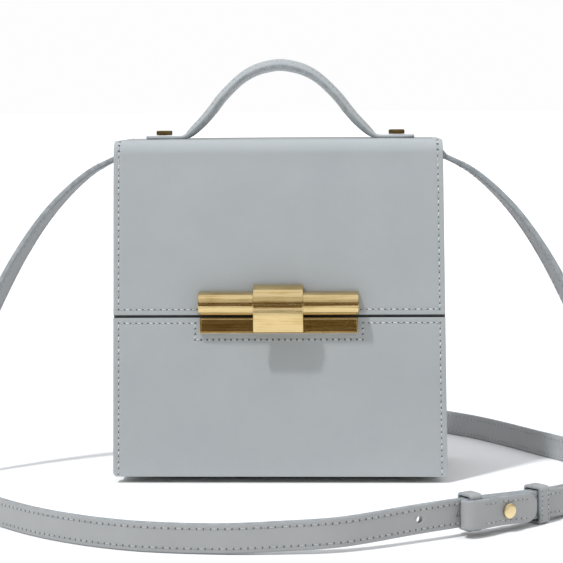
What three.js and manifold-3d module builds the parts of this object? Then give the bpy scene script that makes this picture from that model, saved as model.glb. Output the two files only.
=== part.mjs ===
// A box bag in smooth grey leather: a hollow body, a flap with a bar clasp, a top handle and a
// shoulder strap that lies round it on the floor. Millimetres, +Z up, the front faces -Y, and the
// floor is z = 0.

import * as THREE from 'three';
import { mergeVertices } from 'three/addons/utils/BufferGeometryUtils.js';
import Module from 'manifold-3d';

const wasm = await Module();
wasm.setup();

// Clearance between pieces that touch
const GAP = 0.3;

// Body
const WIDTH_BASE = 182.5;
const WIDTH_TOP = 178.3;
const BODY_DEPTH = 80;
const BODY_TOP = 187;
const FOOT_LIFT = 3.6;
const SKIN = 2.4;
const WALL = 2;
const PANEL_CORNER = 3.5;
const GUSSET_INSET_SIDE = 10.5;
const GUSSET_INSET_FOOT = 3.4;
const GUSSET_INSET_BASE = 3;
const GUSSET_BEND = 4;
const FLANGE = 1.6;
const RIM_DROP = 3.5;
const WALL_DROP = 6;

// Flap
const SEAM_HEIGHT = 91.4;
const SEAM_GAP = 1;
const FOLD_RADIUS = 7;
const BACK_LAP = 28;

// Feet of the body
const FOOT_RADIUS = 4;
const FOOT_CHAMFER = 0.8;
const FOOT_SPACING = 138;
const FOOT_SETBACK = 11.6;

// Handle
const HANDLE_SPAN = 107;
const HANDLE_RISE = 40.2;
const HANDLE_WIDTH = 15;
const HANDLE_PAD = 6.7;
const HANDLE_FOOT_LENGTH = 21.5;
const HANDLE_FOOT_THICKNESS = 1.8;
const HANDLE_BEND_CLEAR = 1.2;
const STUD_SPACING = 130.4;
const STUD_RADIUS = 4.5;
const STUD_HEIGHT = 2.6;

// Clasp
const BAR_LENGTH = 86.7;
const BAR_RADIUS = 6.35;
const BAR_STANDOFF = 2.4;
const BAR_RISE = 6.9;
const LATCH_WIDTH = 27.1;
const LATCH_WALL = 3.65;
const LATCH_DROP = 14.9;
const LATCH_TONGUE = 2.6;
const LATCH_LUG_WIDTH = 16;
const LATCH_LUG_HEIGHT = 4.6;
const LATCH_LUG_LIFT = 0.6;
const HINGE_RADIUS = 1.6;
const HINGE_STANDOFF = 1.95;
const HINGE_LUG_WIDTH = 8;
const HINGE_SINK = 0.1;
const PIN_RADIUS = 0.8;
const PLATE_HEIGHT = 7.9;
const PLATE_THICKNESS = 1.5;
const PLATE_RIM = 1.4;
const PLATE_RIM_RISE = 0.8;
const PLATE_DROP = 0.5;
const PLATE_END_INSET = 0.5;

// Strap
const STRAP_WIDTH = 14;
const STRAP_THICKNESS = 3;
const STRAP_FLOOR_GAP = 0.1;
const TIP_RADIUS = 5.5;
const LOOP_REACH = 190.5;
const LOOP_FRONT = 160.6;
const LOOP_BACK = 166;
const BUCKLE_LIFT = 4.6;

// Strap roots
const RING_DROP = 9;
const RING_WIRE = 1;
const TAB_THICKNESS = 1.6;
const TAB_HEIGHT = 26;
const TAB_LOOP_WALL = 1.3;
const STRAP_LOOP_WALL = 1.6;

// Buckle
const KEEPER_WALL = 1.3;
const KEEPER_WIDTH = 7;
const KEEPER_CORNER = 2.2;
const KEEPER_SLACK = 1.7;
const KEEPER_HEADROOM = 0.5;
const RIVET_RADIUS = 3.65;
const RIVET_HEAD = 1.5;
const RIVET_POST = 1.3;
const HOLE_RADIUS = 1.7;
const HOLE_PITCH = 24;
const HOLES_EACH_WAY = 2;
const KEEPER_END_FROM_RIVET = 18;
const FOLD_FROM_RIVET = 25;
const TIP_FROM_RIVET = 19;
const KEEPER_SLIDE_FROM_RIVET = 26;
const JOIN_RUN = 22;
const JOIN_GAP = 0.6;

// Shares of LOOP_REACH
const RIVET_ACROSS = 0.574;
const FREE_END_ACROSS = 0.47;

// The strap's way down from a ring to the floor. Shares: out from the root to LOOP_REACH, ahead
// from the root to the body's front face, drop from the root's height to the floor, and stand from
// lying flat at the ring to standing on edge.
const ARC_ROWS = [
  { out: 0.065, ahead: 0, drop: 0.018, stand: 0 },
  { out: 0.165, ahead: 0, drop: 0.05, stand: 0.06 },
  { out: 0.285, ahead: 0, drop: 0.108, stand: 0.15 },
  { out: 0.42, ahead: 0.03, drop: 0.195, stand: 0.26 },
  { out: 0.555, ahead: 0.1, drop: 0.312, stand: 0.38 },
  { out: 0.68, ahead: 0.2, drop: 0.45, stand: 0.5 },
  { out: 0.8, ahead: 0.37, drop: 0.61, stand: 0.64 },
  { out: 0.905, ahead: 0.6, drop: 0.765, stand: 0.78 },
  { out: 0.975, ahead: 0.89, drop: 0.895, stand: 0.9 },
  { out: 1, ahead: 1.25, drop: 0.967, stand: 0.97 },
];

// The long half's way along the floor. Shares: across of LOOP_REACH, ahead of LOOP_FRONT before the
// body's front face, and lift of BUCKLE_LIFT.
const LONG_ROWS = [
  { across: -0.982, ahead: 0.165, lift: 0.16 },
  { across: -0.94, ahead: 0.265, lift: 0 },
  { across: -0.872, ahead: 0.39, lift: 0 },
  { across: -0.785, ahead: 0.53, lift: 0 },
  { across: -0.688, ahead: 0.666, lift: 0 },
  { across: -0.6, ahead: 0.77, lift: 0 },
  { across: -0.512, ahead: 0.85, lift: 0 },
  { across: -0.408, ahead: 0.92, lift: 0 },
  { across: -0.3, ahead: 0.967, lift: 0 },
  { across: -0.113, ahead: 0.998, lift: 0.05 },
  { across: 0.04, ahead: 0.996, lift: 0.3 },
  { across: 0.174, ahead: 0.974, lift: 0.52 },
  { across: 0.368, ahead: 0.853, lift: 0.9 },
  { across: 0.509, ahead: 0.74, lift: 0.9 },
  { across: 0.63, ahead: 0.627, lift: 0.62 },
  { across: 0.729, ahead: 0.52, lift: 0.36 },
  { across: 0.79, ahead: 0.433, lift: 0.2 },
  { across: 0.843, ahead: 0.333, lift: 0.08 },
  { across: 0.885, ahead: 0.218, lift: 0 },
  { across: 0.912, ahead: 0.087, lift: 0 },
  { across: 0.923, ahead: -0.045, lift: 0 },
  { across: 0.917, ahead: -0.17, lift: 0 },
  { across: 0.893, ahead: -0.28, lift: 0 },
  { across: 0.85, ahead: -0.383, lift: 0 },
  { across: 0.785, ahead: -0.509, lift: 0 },
  { across: 0.675, ahead: -0.73, lift: 0 },
  { across: 0.596, ahead: -0.864, lift: 0 },
];

// The short half's way from its landing to the buckle, with the same columns.
const SHORT_ROWS = [
  { across: 0.982, ahead: 0.15, lift: 0.2 },
  { across: 0.937, ahead: 0.245, lift: 0.05 },
  { across: 0.877, ahead: 0.345, lift: 0.08 },
];

// Half of the handle's centre line, from the end of a foot to the crown. Shares: out of half
// HANDLE_SPAN, rise of HANDLE_RISE, and pad of HANDLE_PAD.
const HANDLE_ROWS = [
  { out: 0.983, rise: 0.017, pad: 0.45 },
  { out: 0.938, rise: 0.06, pad: 0.66 },
  { out: 0.886, rise: 0.124, pad: 0.78 },
  { out: 0.811, rise: 0.221, pad: 0.85 },
  { out: 0.718, rise: 0.361, pad: 0.865 },
  { out: 0.624, rise: 0.525, pad: 0.865 },
  { out: 0.529, rise: 0.662, pad: 0.87 },
  { out: 0.434, rise: 0.781, pad: 0.88 },
  { out: 0.34, rise: 0.871, pad: 0.93 },
  { out: 0.236, rise: 0.938, pad: 0.97 },
  { out: 0.121, rise: 0.98, pad: 0.99 },
  { out: 0, rise: 1, pad: 1 },
];

const LEATHER = { color: 0xa6abae, roughness: 0.5, metalness: 0 };
const LEATHER_EDGE = { color: 0x8d9295, roughness: 0.6, metalness: 0 };
const GOLD = { color: 0xd9b36a, roughness: 0.25, metalness: 1 };
const BRASS = { color: 0x9c7d42, roughness: 0.35, metalness: 1 };

const UP = new THREE.Vector3(0, 0, 1);
const FORWARD = new THREE.Vector3(0, -1, 0);
const lerp = THREE.MathUtils.lerp;

// The origin is the middle of the floor that the bag and its strap cover
const frontY = (LOOP_FRONT + STRAP_THICKNESS / 2 - LOOP_BACK) / 2;
const backY = frontY + BODY_DEPTH;
const midY = frontY + BODY_DEPTH / 2;
const rimTop = BODY_TOP - RIM_DROP;
const wallTop = BODY_TOP - WALL_DROP;

// A closed solid of a geometry, with its shared corners merged
function solidOf(geometry) {
  const bare = geometry.index ? geometry.toNonIndexed() : geometry.clone();
  bare.deleteAttribute('normal');
  bare.deleteAttribute('uv');
  const merged = mergeVertices(bare, 1e-4);
  const mesh = new wasm.Mesh({
    numProp: 3,
    vertProperties: new Float32Array(merged.attributes.position.array),
    triVerts: new Uint32Array(merged.index.array),
  });
  return new wasm.Manifold(mesh);
}

// The geometry of a solid
function geometryOf(solid) {
  const mesh = solid.getMesh();
  const geometry = new THREE.BufferGeometry();
  geometry.setAttribute('position', new THREE.BufferAttribute(new Float32Array(mesh.vertProperties), 3));
  geometry.setIndex(new THREE.BufferAttribute(new Uint32Array(mesh.triVerts), 1));
  geometry.computeVertexNormals();
  return geometry;
}

function join(first, ...others) {
  return geometryOf(others.reduce((sum, other) => sum.add(solidOf(other)), solidOf(first)));
}

function cut(body, ...tools) {
  return geometryOf(tools.reduce((rest, tool) => rest.subtract(solidOf(tool)), solidOf(body)));
}

function piece(name, geometry, finish) {
  const mesh = new THREE.Mesh(geometry, new THREE.MeshStandardMaterial(finish));
  mesh.name = name;
  return mesh;
}

// Half of the body's width at a height: it is a little wider at its base
function halfWidthAt(z) {
  return lerp(WIDTH_BASE, WIDTH_TOP, (z - FOOT_LIFT) / (BODY_TOP - FOOT_LIFT)) / 2;
}

// Narrows a geometry drawn at the base width to the body's width at each height
function flare(geometry) {
  const place = geometry.attributes.position;
  for (let i = 0; i < place.count; i += 1) {
    place.setX(i, (place.getX(i) * halfWidthAt(place.getZ(i))) / (WIDTH_BASE / 2));
  }
  return geometry;
}

// A slab of an outline drawn in X and Z, from its front face back
function slab(shape, thickness, faceY) {
  const geometry = new THREE.ExtrudeGeometry(shape, { depth: thickness, bevelEnabled: false, curveSegments: 4 });
  geometry.rotateX(Math.PI / 2);
  geometry.translate(0, faceY + thickness, 0);
  return geometry;
}

// A panel of the body with rounded lower corners
function panelShape(low, high) {
  const half = WIDTH_BASE / 2;
  const shape = new THREE.Shape();
  shape.moveTo(-half, high);
  shape.lineTo(-half, low + PANEL_CORNER);
  shape.absarc(-half + PANEL_CORNER, low + PANEL_CORNER, PANEL_CORNER, Math.PI, 1.5 * Math.PI);
  shape.lineTo(half - PANEL_CORNER, low);
  shape.absarc(half - PANEL_CORNER, low + PANEL_CORNER, PANEL_CORNER, 1.5 * Math.PI, 2 * Math.PI);
  shape.lineTo(half, high);
  return shape;
}

// The path of a U round the sides and the base, inset from the panels' edge
function uPath(path, side, base, radius, backwards) {
  const half = WIDTH_BASE / 2 - side;
  const foot = half + (side ? GUSSET_INSET_SIDE - GUSSET_INSET_FOOT : 0);
  const low = FOOT_LIFT + base;
  if (backwards) {
    path.lineTo(half, rimTop);
    path.lineTo(foot, low + radius);
    path.absarc(foot - radius, low + radius, radius, 0, -0.5 * Math.PI, true);
    path.lineTo(-foot + radius, low);
    path.absarc(-foot + radius, low + radius, radius, -0.5 * Math.PI, -Math.PI, true);
    path.lineTo(-half, rimTop);
    return;
  }
  path.moveTo(-half, rimTop);
  path.lineTo(-foot, low + radius);
  path.absarc(-foot + radius, low + radius, radius, Math.PI, 1.5 * Math.PI);
  path.lineTo(foot - radius, low);
  path.absarc(foot - radius, low + radius, radius, 1.5 * Math.PI, 2 * Math.PI);
  path.lineTo(half, rimTop);
}

function backPanel() {
  return flare(slab(panelShape(FOOT_LIFT, wallTop), WALL, backY - SKIN - GAP - WALL));
}

function frontWall() {
  return flare(slab(panelShape(FOOT_LIFT, wallTop), WALL, frontY + SKIN + GAP));
}

function frontFacing() {
  return flare(slab(panelShape(FOOT_LIFT, SEAM_HEIGHT - SEAM_GAP / 2), SKIN, frontY));
}

// One strip round the sides and base, whose edges turn out to a flange under each panel
function gusset() {
  const rim = new THREE.Shape();
  uPath(rim, 0, 0, PANEL_CORNER, false);
  uPath(rim, GUSSET_INSET_SIDE + WALL, GUSSET_INSET_BASE + WALL, GUSSET_BEND - WALL, true);
  const band = new THREE.Shape();
  uPath(band, GUSSET_INSET_SIDE, GUSSET_INSET_BASE, GUSSET_BEND, false);
  uPath(band, GUSSET_INSET_SIDE + WALL, GUSSET_INSET_BASE + WALL, GUSSET_BEND - WALL, true);
  const layers = SKIN + WALL + 2 * GAP;
  const front = slab(rim, FLANGE, frontY + layers);
  const back = slab(rim, FLANGE, backY - layers - FLANGE);
  const wall = slab(band, BODY_DEPTH - 2 * layers, frontY + layers);
  return flare(join(wall, front, back));
}

// One skin folded over the top: its outer line with the front at the left, then the inner line back
function flap() {
  const shape = new THREE.Shape();
  const fold = FOLD_RADIUS;
  const inner = fold - SKIN;
  const low = SEAM_HEIGHT + SEAM_GAP / 2;
  const lap = BODY_TOP - BACK_LAP;
  shape.moveTo(frontY, low);
  shape.lineTo(frontY + SKIN, low);
  shape.lineTo(frontY + SKIN, BODY_TOP - fold);
  shape.absarc(frontY + fold, BODY_TOP - fold, inner, Math.PI, 0.5 * Math.PI, true);
  shape.lineTo(backY - fold, BODY_TOP - SKIN);
  shape.absarc(backY - fold, BODY_TOP - fold, inner, 0.5 * Math.PI, 0, true);
  shape.lineTo(backY - SKIN, lap);
  shape.lineTo(backY, lap);
  shape.lineTo(backY, BODY_TOP - fold);
  shape.absarc(backY - fold, BODY_TOP - fold, fold, 0, 0.5 * Math.PI);
  shape.lineTo(frontY + fold, BODY_TOP);
  shape.absarc(frontY + fold, BODY_TOP - fold, fold, 0.5 * Math.PI, Math.PI);
  const geometry = new THREE.ExtrudeGeometry(shape, { depth: WIDTH_BASE, bevelEnabled: false, curveSegments: 6 });
  geometry.applyMatrix4(new THREE.Matrix4().set(0, 0, 1, -WIDTH_BASE / 2, 1, 0, 0, 0, 0, 1, 0, 0, 0, 0, 0, 1));
  return flare(geometry);
}

function foot() {
  const height = FOOT_LIFT + GUSSET_INSET_BASE - GAP;
  const profile = [
    new THREE.Vector2(0, 0),
    new THREE.Vector2(FOOT_RADIUS - FOOT_CHAMFER, 0),
    new THREE.Vector2(FOOT_RADIUS, FOOT_CHAMFER),
    new THREE.Vector2(FOOT_RADIUS, height),
    new THREE.Vector2(0, height),
  ];
  return new THREE.LatheGeometry(profile, 16).rotateX(Math.PI / 2);
}

function handleStud() {
  const chamfer = STUD_HEIGHT / 5;
  const profile = [
    new THREE.Vector2(0, 0),
    new THREE.Vector2(STUD_RADIUS, 0),
    new THREE.Vector2(STUD_RADIUS, STUD_HEIGHT - chamfer),
    new THREE.Vector2(STUD_RADIUS - chamfer, STUD_HEIGHT),
    new THREE.Vector2(0, STUD_HEIGHT),
  ];
  return new THREE.LatheGeometry(profile, 20).rotateX(Math.PI / 2);
}

// Sections of a strap, as shares of half its width and half its thickness
const FLAT_SECTION = [[-1, -1], [1, -1], [1, 1], [-1, 1]];
const PADDED_SECTION = [
  [-1, -0.45], [-0.86, -0.88], [-0.6, -1], [0.6, -1], [0.86, -0.88],
  [1, -0.45], [1, 0.45], [0.86, 0.88], [0.6, 1], [-0.6, 1], [-0.86, 0.88], [-1, 0.45],
];

// Skins a row of stations, each with its centre, its width and face directions and its two sizes
function skin(stations, section) {
  const points = [];
  const faces = [];
  const count = section.length;
  for (const at of stations) {
    for (const [across, through] of section) {
      const corner = at.centre.clone();
      corner.addScaledVector(at.wide, (across * at.width) / 2);
      corner.addScaledVector(at.face, (through * at.thickness) / 2);
      points.push(corner.x, corner.y, corner.z);
    }
  }
  for (let i = 0; i + 1 < stations.length; i += 1) {
    for (let j = 0; j < count; j += 1) {
      const a = i * count + j;
      const b = i * count + ((j + 1) % count);
      faces.push(a, b, a + count, b, b + count, a + count);
    }
  }
  const last = (stations.length - 1) * count;
  for (let j = 1; j + 1 < count; j += 1) {
    faces.push(0, j + 1, j, last, last + j, last + j + 1);
  }
  const geometry = new THREE.BufferGeometry();
  geometry.setAttribute('position', new THREE.Float32BufferAttribute(points, 3));
  geometry.setIndex(faces);
  geometry.computeVertexNormals();
  return geometry;
}

// Half width of a strap near a rounded end
function roundedWidth(distance) {
  if (distance >= TIP_RADIUS) return STRAP_WIDTH;
  const run = TIP_RADIUS - distance;
  return STRAP_WIDTH - 2 * TIP_RADIUS + 2 * Math.sqrt(TIP_RADIUS ** 2 - run ** 2);
}

// A strap along a curve whose points have a stand share, with a rounded end
class Strap {
  constructor(rows, stepsPerRow) {
    this.rows = rows;
    this.steps = stepsPerRow;
    this.curve = new THREE.CatmullRomCurve3(rows.map((row) => row.point), false, 'centripetal');
    this.length = this.curve.getLength();
  }

  stand(t) {
    const place = Math.min(t, 1) * (this.rows.length - 1);
    const low = Math.min(Math.floor(place), this.rows.length - 2);
    return lerp(this.rows[low].stand, this.rows[low + 1].stand, place - low);
  }

  // A station at the curve's own parameter
  station(t, width) {
    const along = this.curve.getTangent(t);
    const stand = this.stand(t);
    const wide = FORWARD.clone().multiplyScalar(1 - stand).addScaledVector(UP, stand);
    wide.addScaledVector(along, -wide.dot(along)).normalize();
    const face = new THREE.Vector3().crossVectors(along, wide);
    return { centre: this.curve.getPoint(t), along, wide, face, width, thickness: STRAP_THICKNESS };
  }

  // A station at a length along the strap
  at(length) {
    return this.station(this.curve.getUtoTmapping(length / this.length), STRAP_WIDTH);
  }

  geometry() {
    const stations = [];
    const spans = (this.rows.length - 1) * this.steps;
    const roundStart = this.curve.getUtoTmapping(1 - TIP_RADIUS / this.length);
    for (let i = 0; i <= spans; i += 1) {
      if (i / spans < roundStart) stations.push(this.station(i / spans, STRAP_WIDTH));
    }
    for (const share of [1, 0.6, 0.32, 0.12, 0.02]) {
      const distance = share * TIP_RADIUS;
      const t = this.curve.getUtoTmapping(1 - distance / this.length);
      stations.push(this.station(t, roundedWidth(distance)));
    }
    return skin(stations, FLAT_SECTION);
  }
}

// The places of a ring's two bars, beside the gusset where the tab's lower end lies on it
const ringZ = BODY_TOP - RING_DROP;
const tabFoot = ringZ - TAB_HEIGHT;
const bendTop = FOOT_LIFT + GUSSET_INSET_BASE + GUSSET_BEND;
const insetAtTab = lerp(GUSSET_INSET_FOOT, GUSSET_INSET_SIDE, (tabFoot - bendTop) / (rimTop - bendTop));
const gussetX = ((WIDTH_BASE / 2 - insetAtTab) * halfWidthAt(tabFoot)) / (WIDTH_BASE / 2);
const tabLoopRadius = RING_WIRE + GAP + TAB_LOOP_WALL;
const strapLoopRadius = RING_WIRE + GAP + STRAP_LOOP_WALL;
const innerBarX = gussetX + GAP + tabLoopRadius;
const outerBarX = innerBarX + tabLoopRadius + GAP + strapLoopRadius;
const ringHalf = STRAP_WIDTH / 2 + GAP + RING_WIRE;
const standZ = STRAP_FLOOR_GAP + STRAP_WIDTH / 2;

// The points of a strap half from its ring to the floor, on one side
function arcPoints(side) {
  const root = { point: new THREE.Vector3(side * outerBarX, midY, ringZ), stand: 0 };
  return [root, ...ARC_ROWS.map((row) => ({
    point: new THREE.Vector3(
      side * lerp(outerBarX, LOOP_REACH, row.out),
      lerp(midY, frontY, row.ahead),
      lerp(ringZ, standZ, row.drop),
    ),
    stand: row.stand,
  }))];
}

function floorPoints(rows) {
  return rows.map((row) => ({
    point: new THREE.Vector3(
      row.across * LOOP_REACH,
      frontY - row.ahead * LOOP_FRONT,
      standZ + row.lift * BUCKLE_LIFT,
    ),
    stand: 1,
  }));
}

// The free end lies behind the body, at LOOP_BACK from the front face
const freeEnd = {
  point: new THREE.Vector3(FREE_END_ACROSS * LOOP_REACH, frontY + LOOP_BACK - STRAP_THICKNESS / 3, standZ),
  stand: 1,
};
const longStrap = new Strap([...arcPoints(-1), ...floorPoints(LONG_ROWS), freeEnd], 3);

// Where the long half passes a given place across the front
function lengthAcross(x) {
  const from = longStrap.length / 2;
  let best = from;
  for (let length = from; length < longStrap.length; length += 0.5) {
    const here = longStrap.at(length);
    if (here.along.x < 0) break;
    if (Math.abs(here.centre.x - x) < Math.abs(longStrap.at(best).centre.x - x)) best = length;
  }
  return best;
}

const rivetLength = lengthAcross(RIVET_ACROSS * LOOP_REACH);
const mainOffset = STRAP_THICKNESS + GAP;
const tipOffset = 2 * mainOffset;
const foldOffset = mainOffset + STRAP_THICKNESS + KEEPER_WALL + 2 * GAP;

// A place beside the long half: at a length past the rivet, and out from its centre
function beside(past, out) {
  const here = longStrap.at(rivetLength + past);
  const outward = new THREE.Vector3().crossVectors(here.along, UP).normalize();
  return here.centre.clone().addScaledVector(outward, out);
}

// The short half runs beside the long one, turns back round the end keeper and ends past the rivet
function shortStrapRows() {
  const row = (past, out) => ({ point: beside(past, out), stand: 1 });
  const bend = (foldOffset - mainOffset) / 2;
  return [
    ...arcPoints(1),
    ...floorPoints(SHORT_ROWS),
    row(KEEPER_SLIDE_FROM_RIVET + JOIN_RUN, mainOffset + JOIN_GAP),
    row(KEEPER_SLIDE_FROM_RIVET + JOIN_RUN * 0.45, mainOffset),
    row(TIP_FROM_RIVET, mainOffset),
    row(TIP_FROM_RIVET / 2, mainOffset),
    row(0, mainOffset),
    row(-KEEPER_END_FROM_RIVET / 2, mainOffset),
    row(-FOLD_FROM_RIVET + bend, mainOffset),
    row(-FOLD_FROM_RIVET + bend * 0.3, mainOffset + bend * 0.3),
    row(-FOLD_FROM_RIVET, mainOffset + bend),
    row(-FOLD_FROM_RIVET + bend * 0.3, foldOffset - bend * 0.3),
    row(-FOLD_FROM_RIVET + bend, foldOffset),
    row(-KEEPER_END_FROM_RIVET + KEEPER_WIDTH / 2 + GAP, foldOffset),
    row(-KEEPER_END_FROM_RIVET * 0.44, lerp(foldOffset, tipOffset, 0.75)),
    row(-RIVET_RADIUS, tipOffset),
    row(TIP_FROM_RIVET / 2, tipOffset),
    row(TIP_FROM_RIVET, tipOffset),
  ];
}

const shortStrap = new Strap(shortStrapRows(), 3);

// A round bar along one of the axes or a direction
function bar(radius, length, centre, direction, sides) {
  const geometry = new THREE.CylinderGeometry(radius, radius, length, sides);
  geometry.applyQuaternion(new THREE.Quaternion().setFromUnitVectors(new THREE.Vector3(0, 1, 0), direction));
  geometry.translate(centre.x, centre.y, centre.z);
  return geometry;
}

// The end of a strap half, looped round its ring's outer bar
function withLoop(geometry, side) {
  const centre = new THREE.Vector3(side * outerBarX, midY, ringZ);
  const loop = bar(strapLoopRadius, STRAP_WIDTH, centre, FORWARD, 16);
  const hole = bar(RING_WIRE + GAP, 2 * STRAP_WIDTH, centre, FORWARD, 12);
  return cut(join(geometry, loop), hole);
}

// A hole through the straps beside the rivet's line, at a length past the rivet
function punch(past, from, to) {
  const start = beside(past, from);
  const end = beside(past, to);
  const direction = end.clone().sub(start).normalize();
  return bar(HOLE_RADIUS, start.distanceTo(end), start.clone().add(end).multiplyScalar(0.5), direction, 12);
}

function strapLeft() {
  const holes = [];
  for (let i = -HOLES_EACH_WAY; i <= HOLES_EACH_WAY; i += 1) {
    holes.push(punch(i * HOLE_PITCH, -STRAP_THICKNESS, STRAP_THICKNESS));
  }
  return cut(withLoop(longStrap.geometry(), -1), ...holes);
}

function strapRight() {
  return cut(withLoop(shortStrap.geometry(), 1), punch(0, mainOffset - STRAP_THICKNESS, tipOffset + STRAP_THICKNESS));
}

// A soft loop round the straps: its inside from one offset to the other, and between two heights
function keeper(past, inner, outer, low, high) {
  const outline = (path, grow, radius) => {
    const left = inner - grow;
    const right = outer + grow;
    const bottom = low - grow;
    const top = high + grow;
    path.moveTo((left + right) / 2, bottom);
    path.absarc(right - radius, bottom + radius, radius, -0.5 * Math.PI, 0);
    path.absarc(right - radius, top - radius, radius, 0, 0.5 * Math.PI);
    path.absarc(left + radius, top - radius, radius, 0.5 * Math.PI, Math.PI);
    path.absarc(left + radius, bottom + radius, radius, Math.PI, 1.5 * Math.PI);
  };
  const shape = new THREE.Shape();
  outline(shape, KEEPER_WALL, KEEPER_CORNER);
  const window = new THREE.Path();
  outline(window, 0, KEEPER_CORNER - KEEPER_WALL);
  shape.holes.push(window);
  const geometry = new THREE.ExtrudeGeometry(shape, { depth: KEEPER_WIDTH, bevelEnabled: false, curveSegments: 4 });
  geometry.translate(0, 0, -KEEPER_WIDTH / 2);
  const origin = beside(past, 0);
  const outward = beside(past, 1).sub(origin);
  const backwards = new THREE.Vector3().crossVectors(outward, UP);
  const frame = new THREE.Matrix4().makeBasis(outward, UP, backwards);
  frame.setPosition(origin.x, origin.y, 0);
  return geometry.applyMatrix4(frame);
}

const strapBack = -STRAP_THICKNESS / 2 - KEEPER_SLACK;
const strapFront = mainOffset + STRAP_THICKNESS / 2;

function keeperEnd() {
  const high = standZ + BUCKLE_LIFT + STRAP_WIDTH / 2 + KEEPER_HEADROOM;
  const low = beside(-KEEPER_END_FROM_RIVET, 0).z - STRAP_WIDTH / 2 - KEEPER_HEADROOM;
  return keeper(-KEEPER_END_FROM_RIVET, strapBack, strapFront + GAP, low, high);
}

function keeperSlide() {
  const high = beside(KEEPER_SLIDE_FROM_RIVET, 0).z + STRAP_WIDTH / 2 + 2 * KEEPER_HEADROOM;
  return keeper(KEEPER_SLIDE_FROM_RIVET, strapBack, strapFront + KEEPER_SLACK / 2, STRAP_FLOOR_GAP + KEEPER_WALL, high);
}

// The round-headed rivet through the fold and the long half
function rivet() {
  const face = tipOffset + STRAP_THICKNESS / 2 + GAP;
  const back = -STRAP_THICKNESS / 2 - GAP;
  const profile = [
    new THREE.Vector2(0, back - RIVET_HEAD / 2),
    new THREE.Vector2(2 * RIVET_POST, back - RIVET_HEAD / 2),
    new THREE.Vector2(2 * RIVET_POST, back),
    new THREE.Vector2(RIVET_POST, back),
    new THREE.Vector2(RIVET_POST, face),
    new THREE.Vector2(RIVET_RADIUS, face),
    new THREE.Vector2(RIVET_RADIUS, face + RIVET_HEAD * 0.6),
    new THREE.Vector2(RIVET_RADIUS * 0.8, face + RIVET_HEAD),
    new THREE.Vector2(0, face + RIVET_HEAD),
  ];
  const geometry = new THREE.LatheGeometry(profile, 16);
  const origin = beside(0, 0);
  const outward = beside(0, 1).sub(origin).normalize();
  geometry.applyQuaternion(new THREE.Quaternion().setFromUnitVectors(new THREE.Vector3(0, 1, 0), outward));
  return geometry.translate(origin.x, origin.y, origin.z);
}

function tab(side) {
  const near = gussetX + GAP;
  const plate = new THREE.BoxGeometry(TAB_THICKNESS, STRAP_WIDTH, TAB_HEIGHT);
  plate.translate(near + TAB_THICKNESS / 2, midY, ringZ - TAB_HEIGHT / 2);
  const centre = new THREE.Vector3(innerBarX, midY, ringZ);
  const loop = bar(tabLoopRadius, STRAP_WIDTH, centre, FORWARD, 16);
  const hole = bar(RING_WIRE + GAP, 2 * STRAP_WIDTH, centre, FORWARD, 12);
  const geometry = cut(join(plate, loop), hole);
  return side < 0 ? geometry.rotateZ(Math.PI).translate(0, 2 * midY, 0) : geometry;
}

// A rectangular wire ring round the tab's loop and the strap's loop
function ring(side) {
  const along = new THREE.Vector3(1, 0, 0);
  const centreX = (innerBarX + outerBarX) / 2;
  const reach = outerBarX - innerBarX;
  const bars = [];
  for (const x of [innerBarX, outerBarX]) {
    bars.push(bar(RING_WIRE, 2 * ringHalf, new THREE.Vector3(x, midY, ringZ), FORWARD, 12));
    for (const end of [-1, 1]) {
      const knuckle = new THREE.SphereGeometry(RING_WIRE, 12, 6);
      knuckle.translate(x, midY + end * ringHalf, ringZ);
      bars.push(knuckle);
    }
  }
  for (const end of [-1, 1]) {
    bars.push(bar(RING_WIRE, reach, new THREE.Vector3(centreX, midY + end * ringHalf, ringZ), along, 12));
  }
  const geometry = join(...bars);
  return side < 0 ? geometry.rotateZ(Math.PI).translate(0, 2 * midY, 0) : geometry;
}

// A padded strap bent up from two flat feet on the top of the flap
function handle() {
  const footZ = BODY_TOP + GAP + HANDLE_FOOT_THICKNESS / 2;
  const half = HANDLE_SPAN / 2;
  const tip = { x: half + HANDLE_FOOT_LENGTH, z: footZ, thickness: HANDLE_FOOT_THICKNESS, width: HANDLE_WIDTH * 0.55 };
  const shoulder = { ...tip, x: tip.x - HANDLE_WIDTH * 0.1, width: HANDLE_WIDTH * 0.85 };
  const flat = { ...tip, x: tip.x - HANDLE_WIDTH * 0.3, width: HANDLE_WIDTH };
  const root = { ...flat, x: half + HANDLE_BEND_CLEAR };
  const grip = HANDLE_ROWS.map((row) => ({
    x: row.out * half,
    z: lerp(footZ, footZ + HANDLE_RISE, row.rise),
    thickness: row.pad * HANDLE_PAD,
    width: HANDLE_WIDTH,
  }));
  grip[0].z = BODY_TOP + GAP + grip[0].thickness / 2;
  const right = [tip, shoulder, flat, root, ...grip];
  const left = right.slice(0, -1).map((row) => ({ ...row, x: -row.x }));
  const rows = [...left, ...right.slice().reverse()];
  const stations = rows.map((row, i) => {
    const before = rows[Math.max(i - 1, 0)];
    const after = rows[Math.min(i + 1, rows.length - 1)];
    const onTop = Math.abs(row.x) >= grip[0].x;
    const slope = onTop ? new THREE.Vector3(1, 0, 0) : new THREE.Vector3(after.x - before.x, 0, after.z - before.z);
    const along = slope.normalize();
    const wide = new THREE.Vector3(0, 1, 0);
    const face = new THREE.Vector3().crossVectors(along, wide);
    const centre = new THREE.Vector3(row.x, midY, row.z);
    return { centre, wide, face, width: row.width, thickness: row.thickness };
  });
  return skin(stations, PADDED_SECTION);
}

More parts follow.
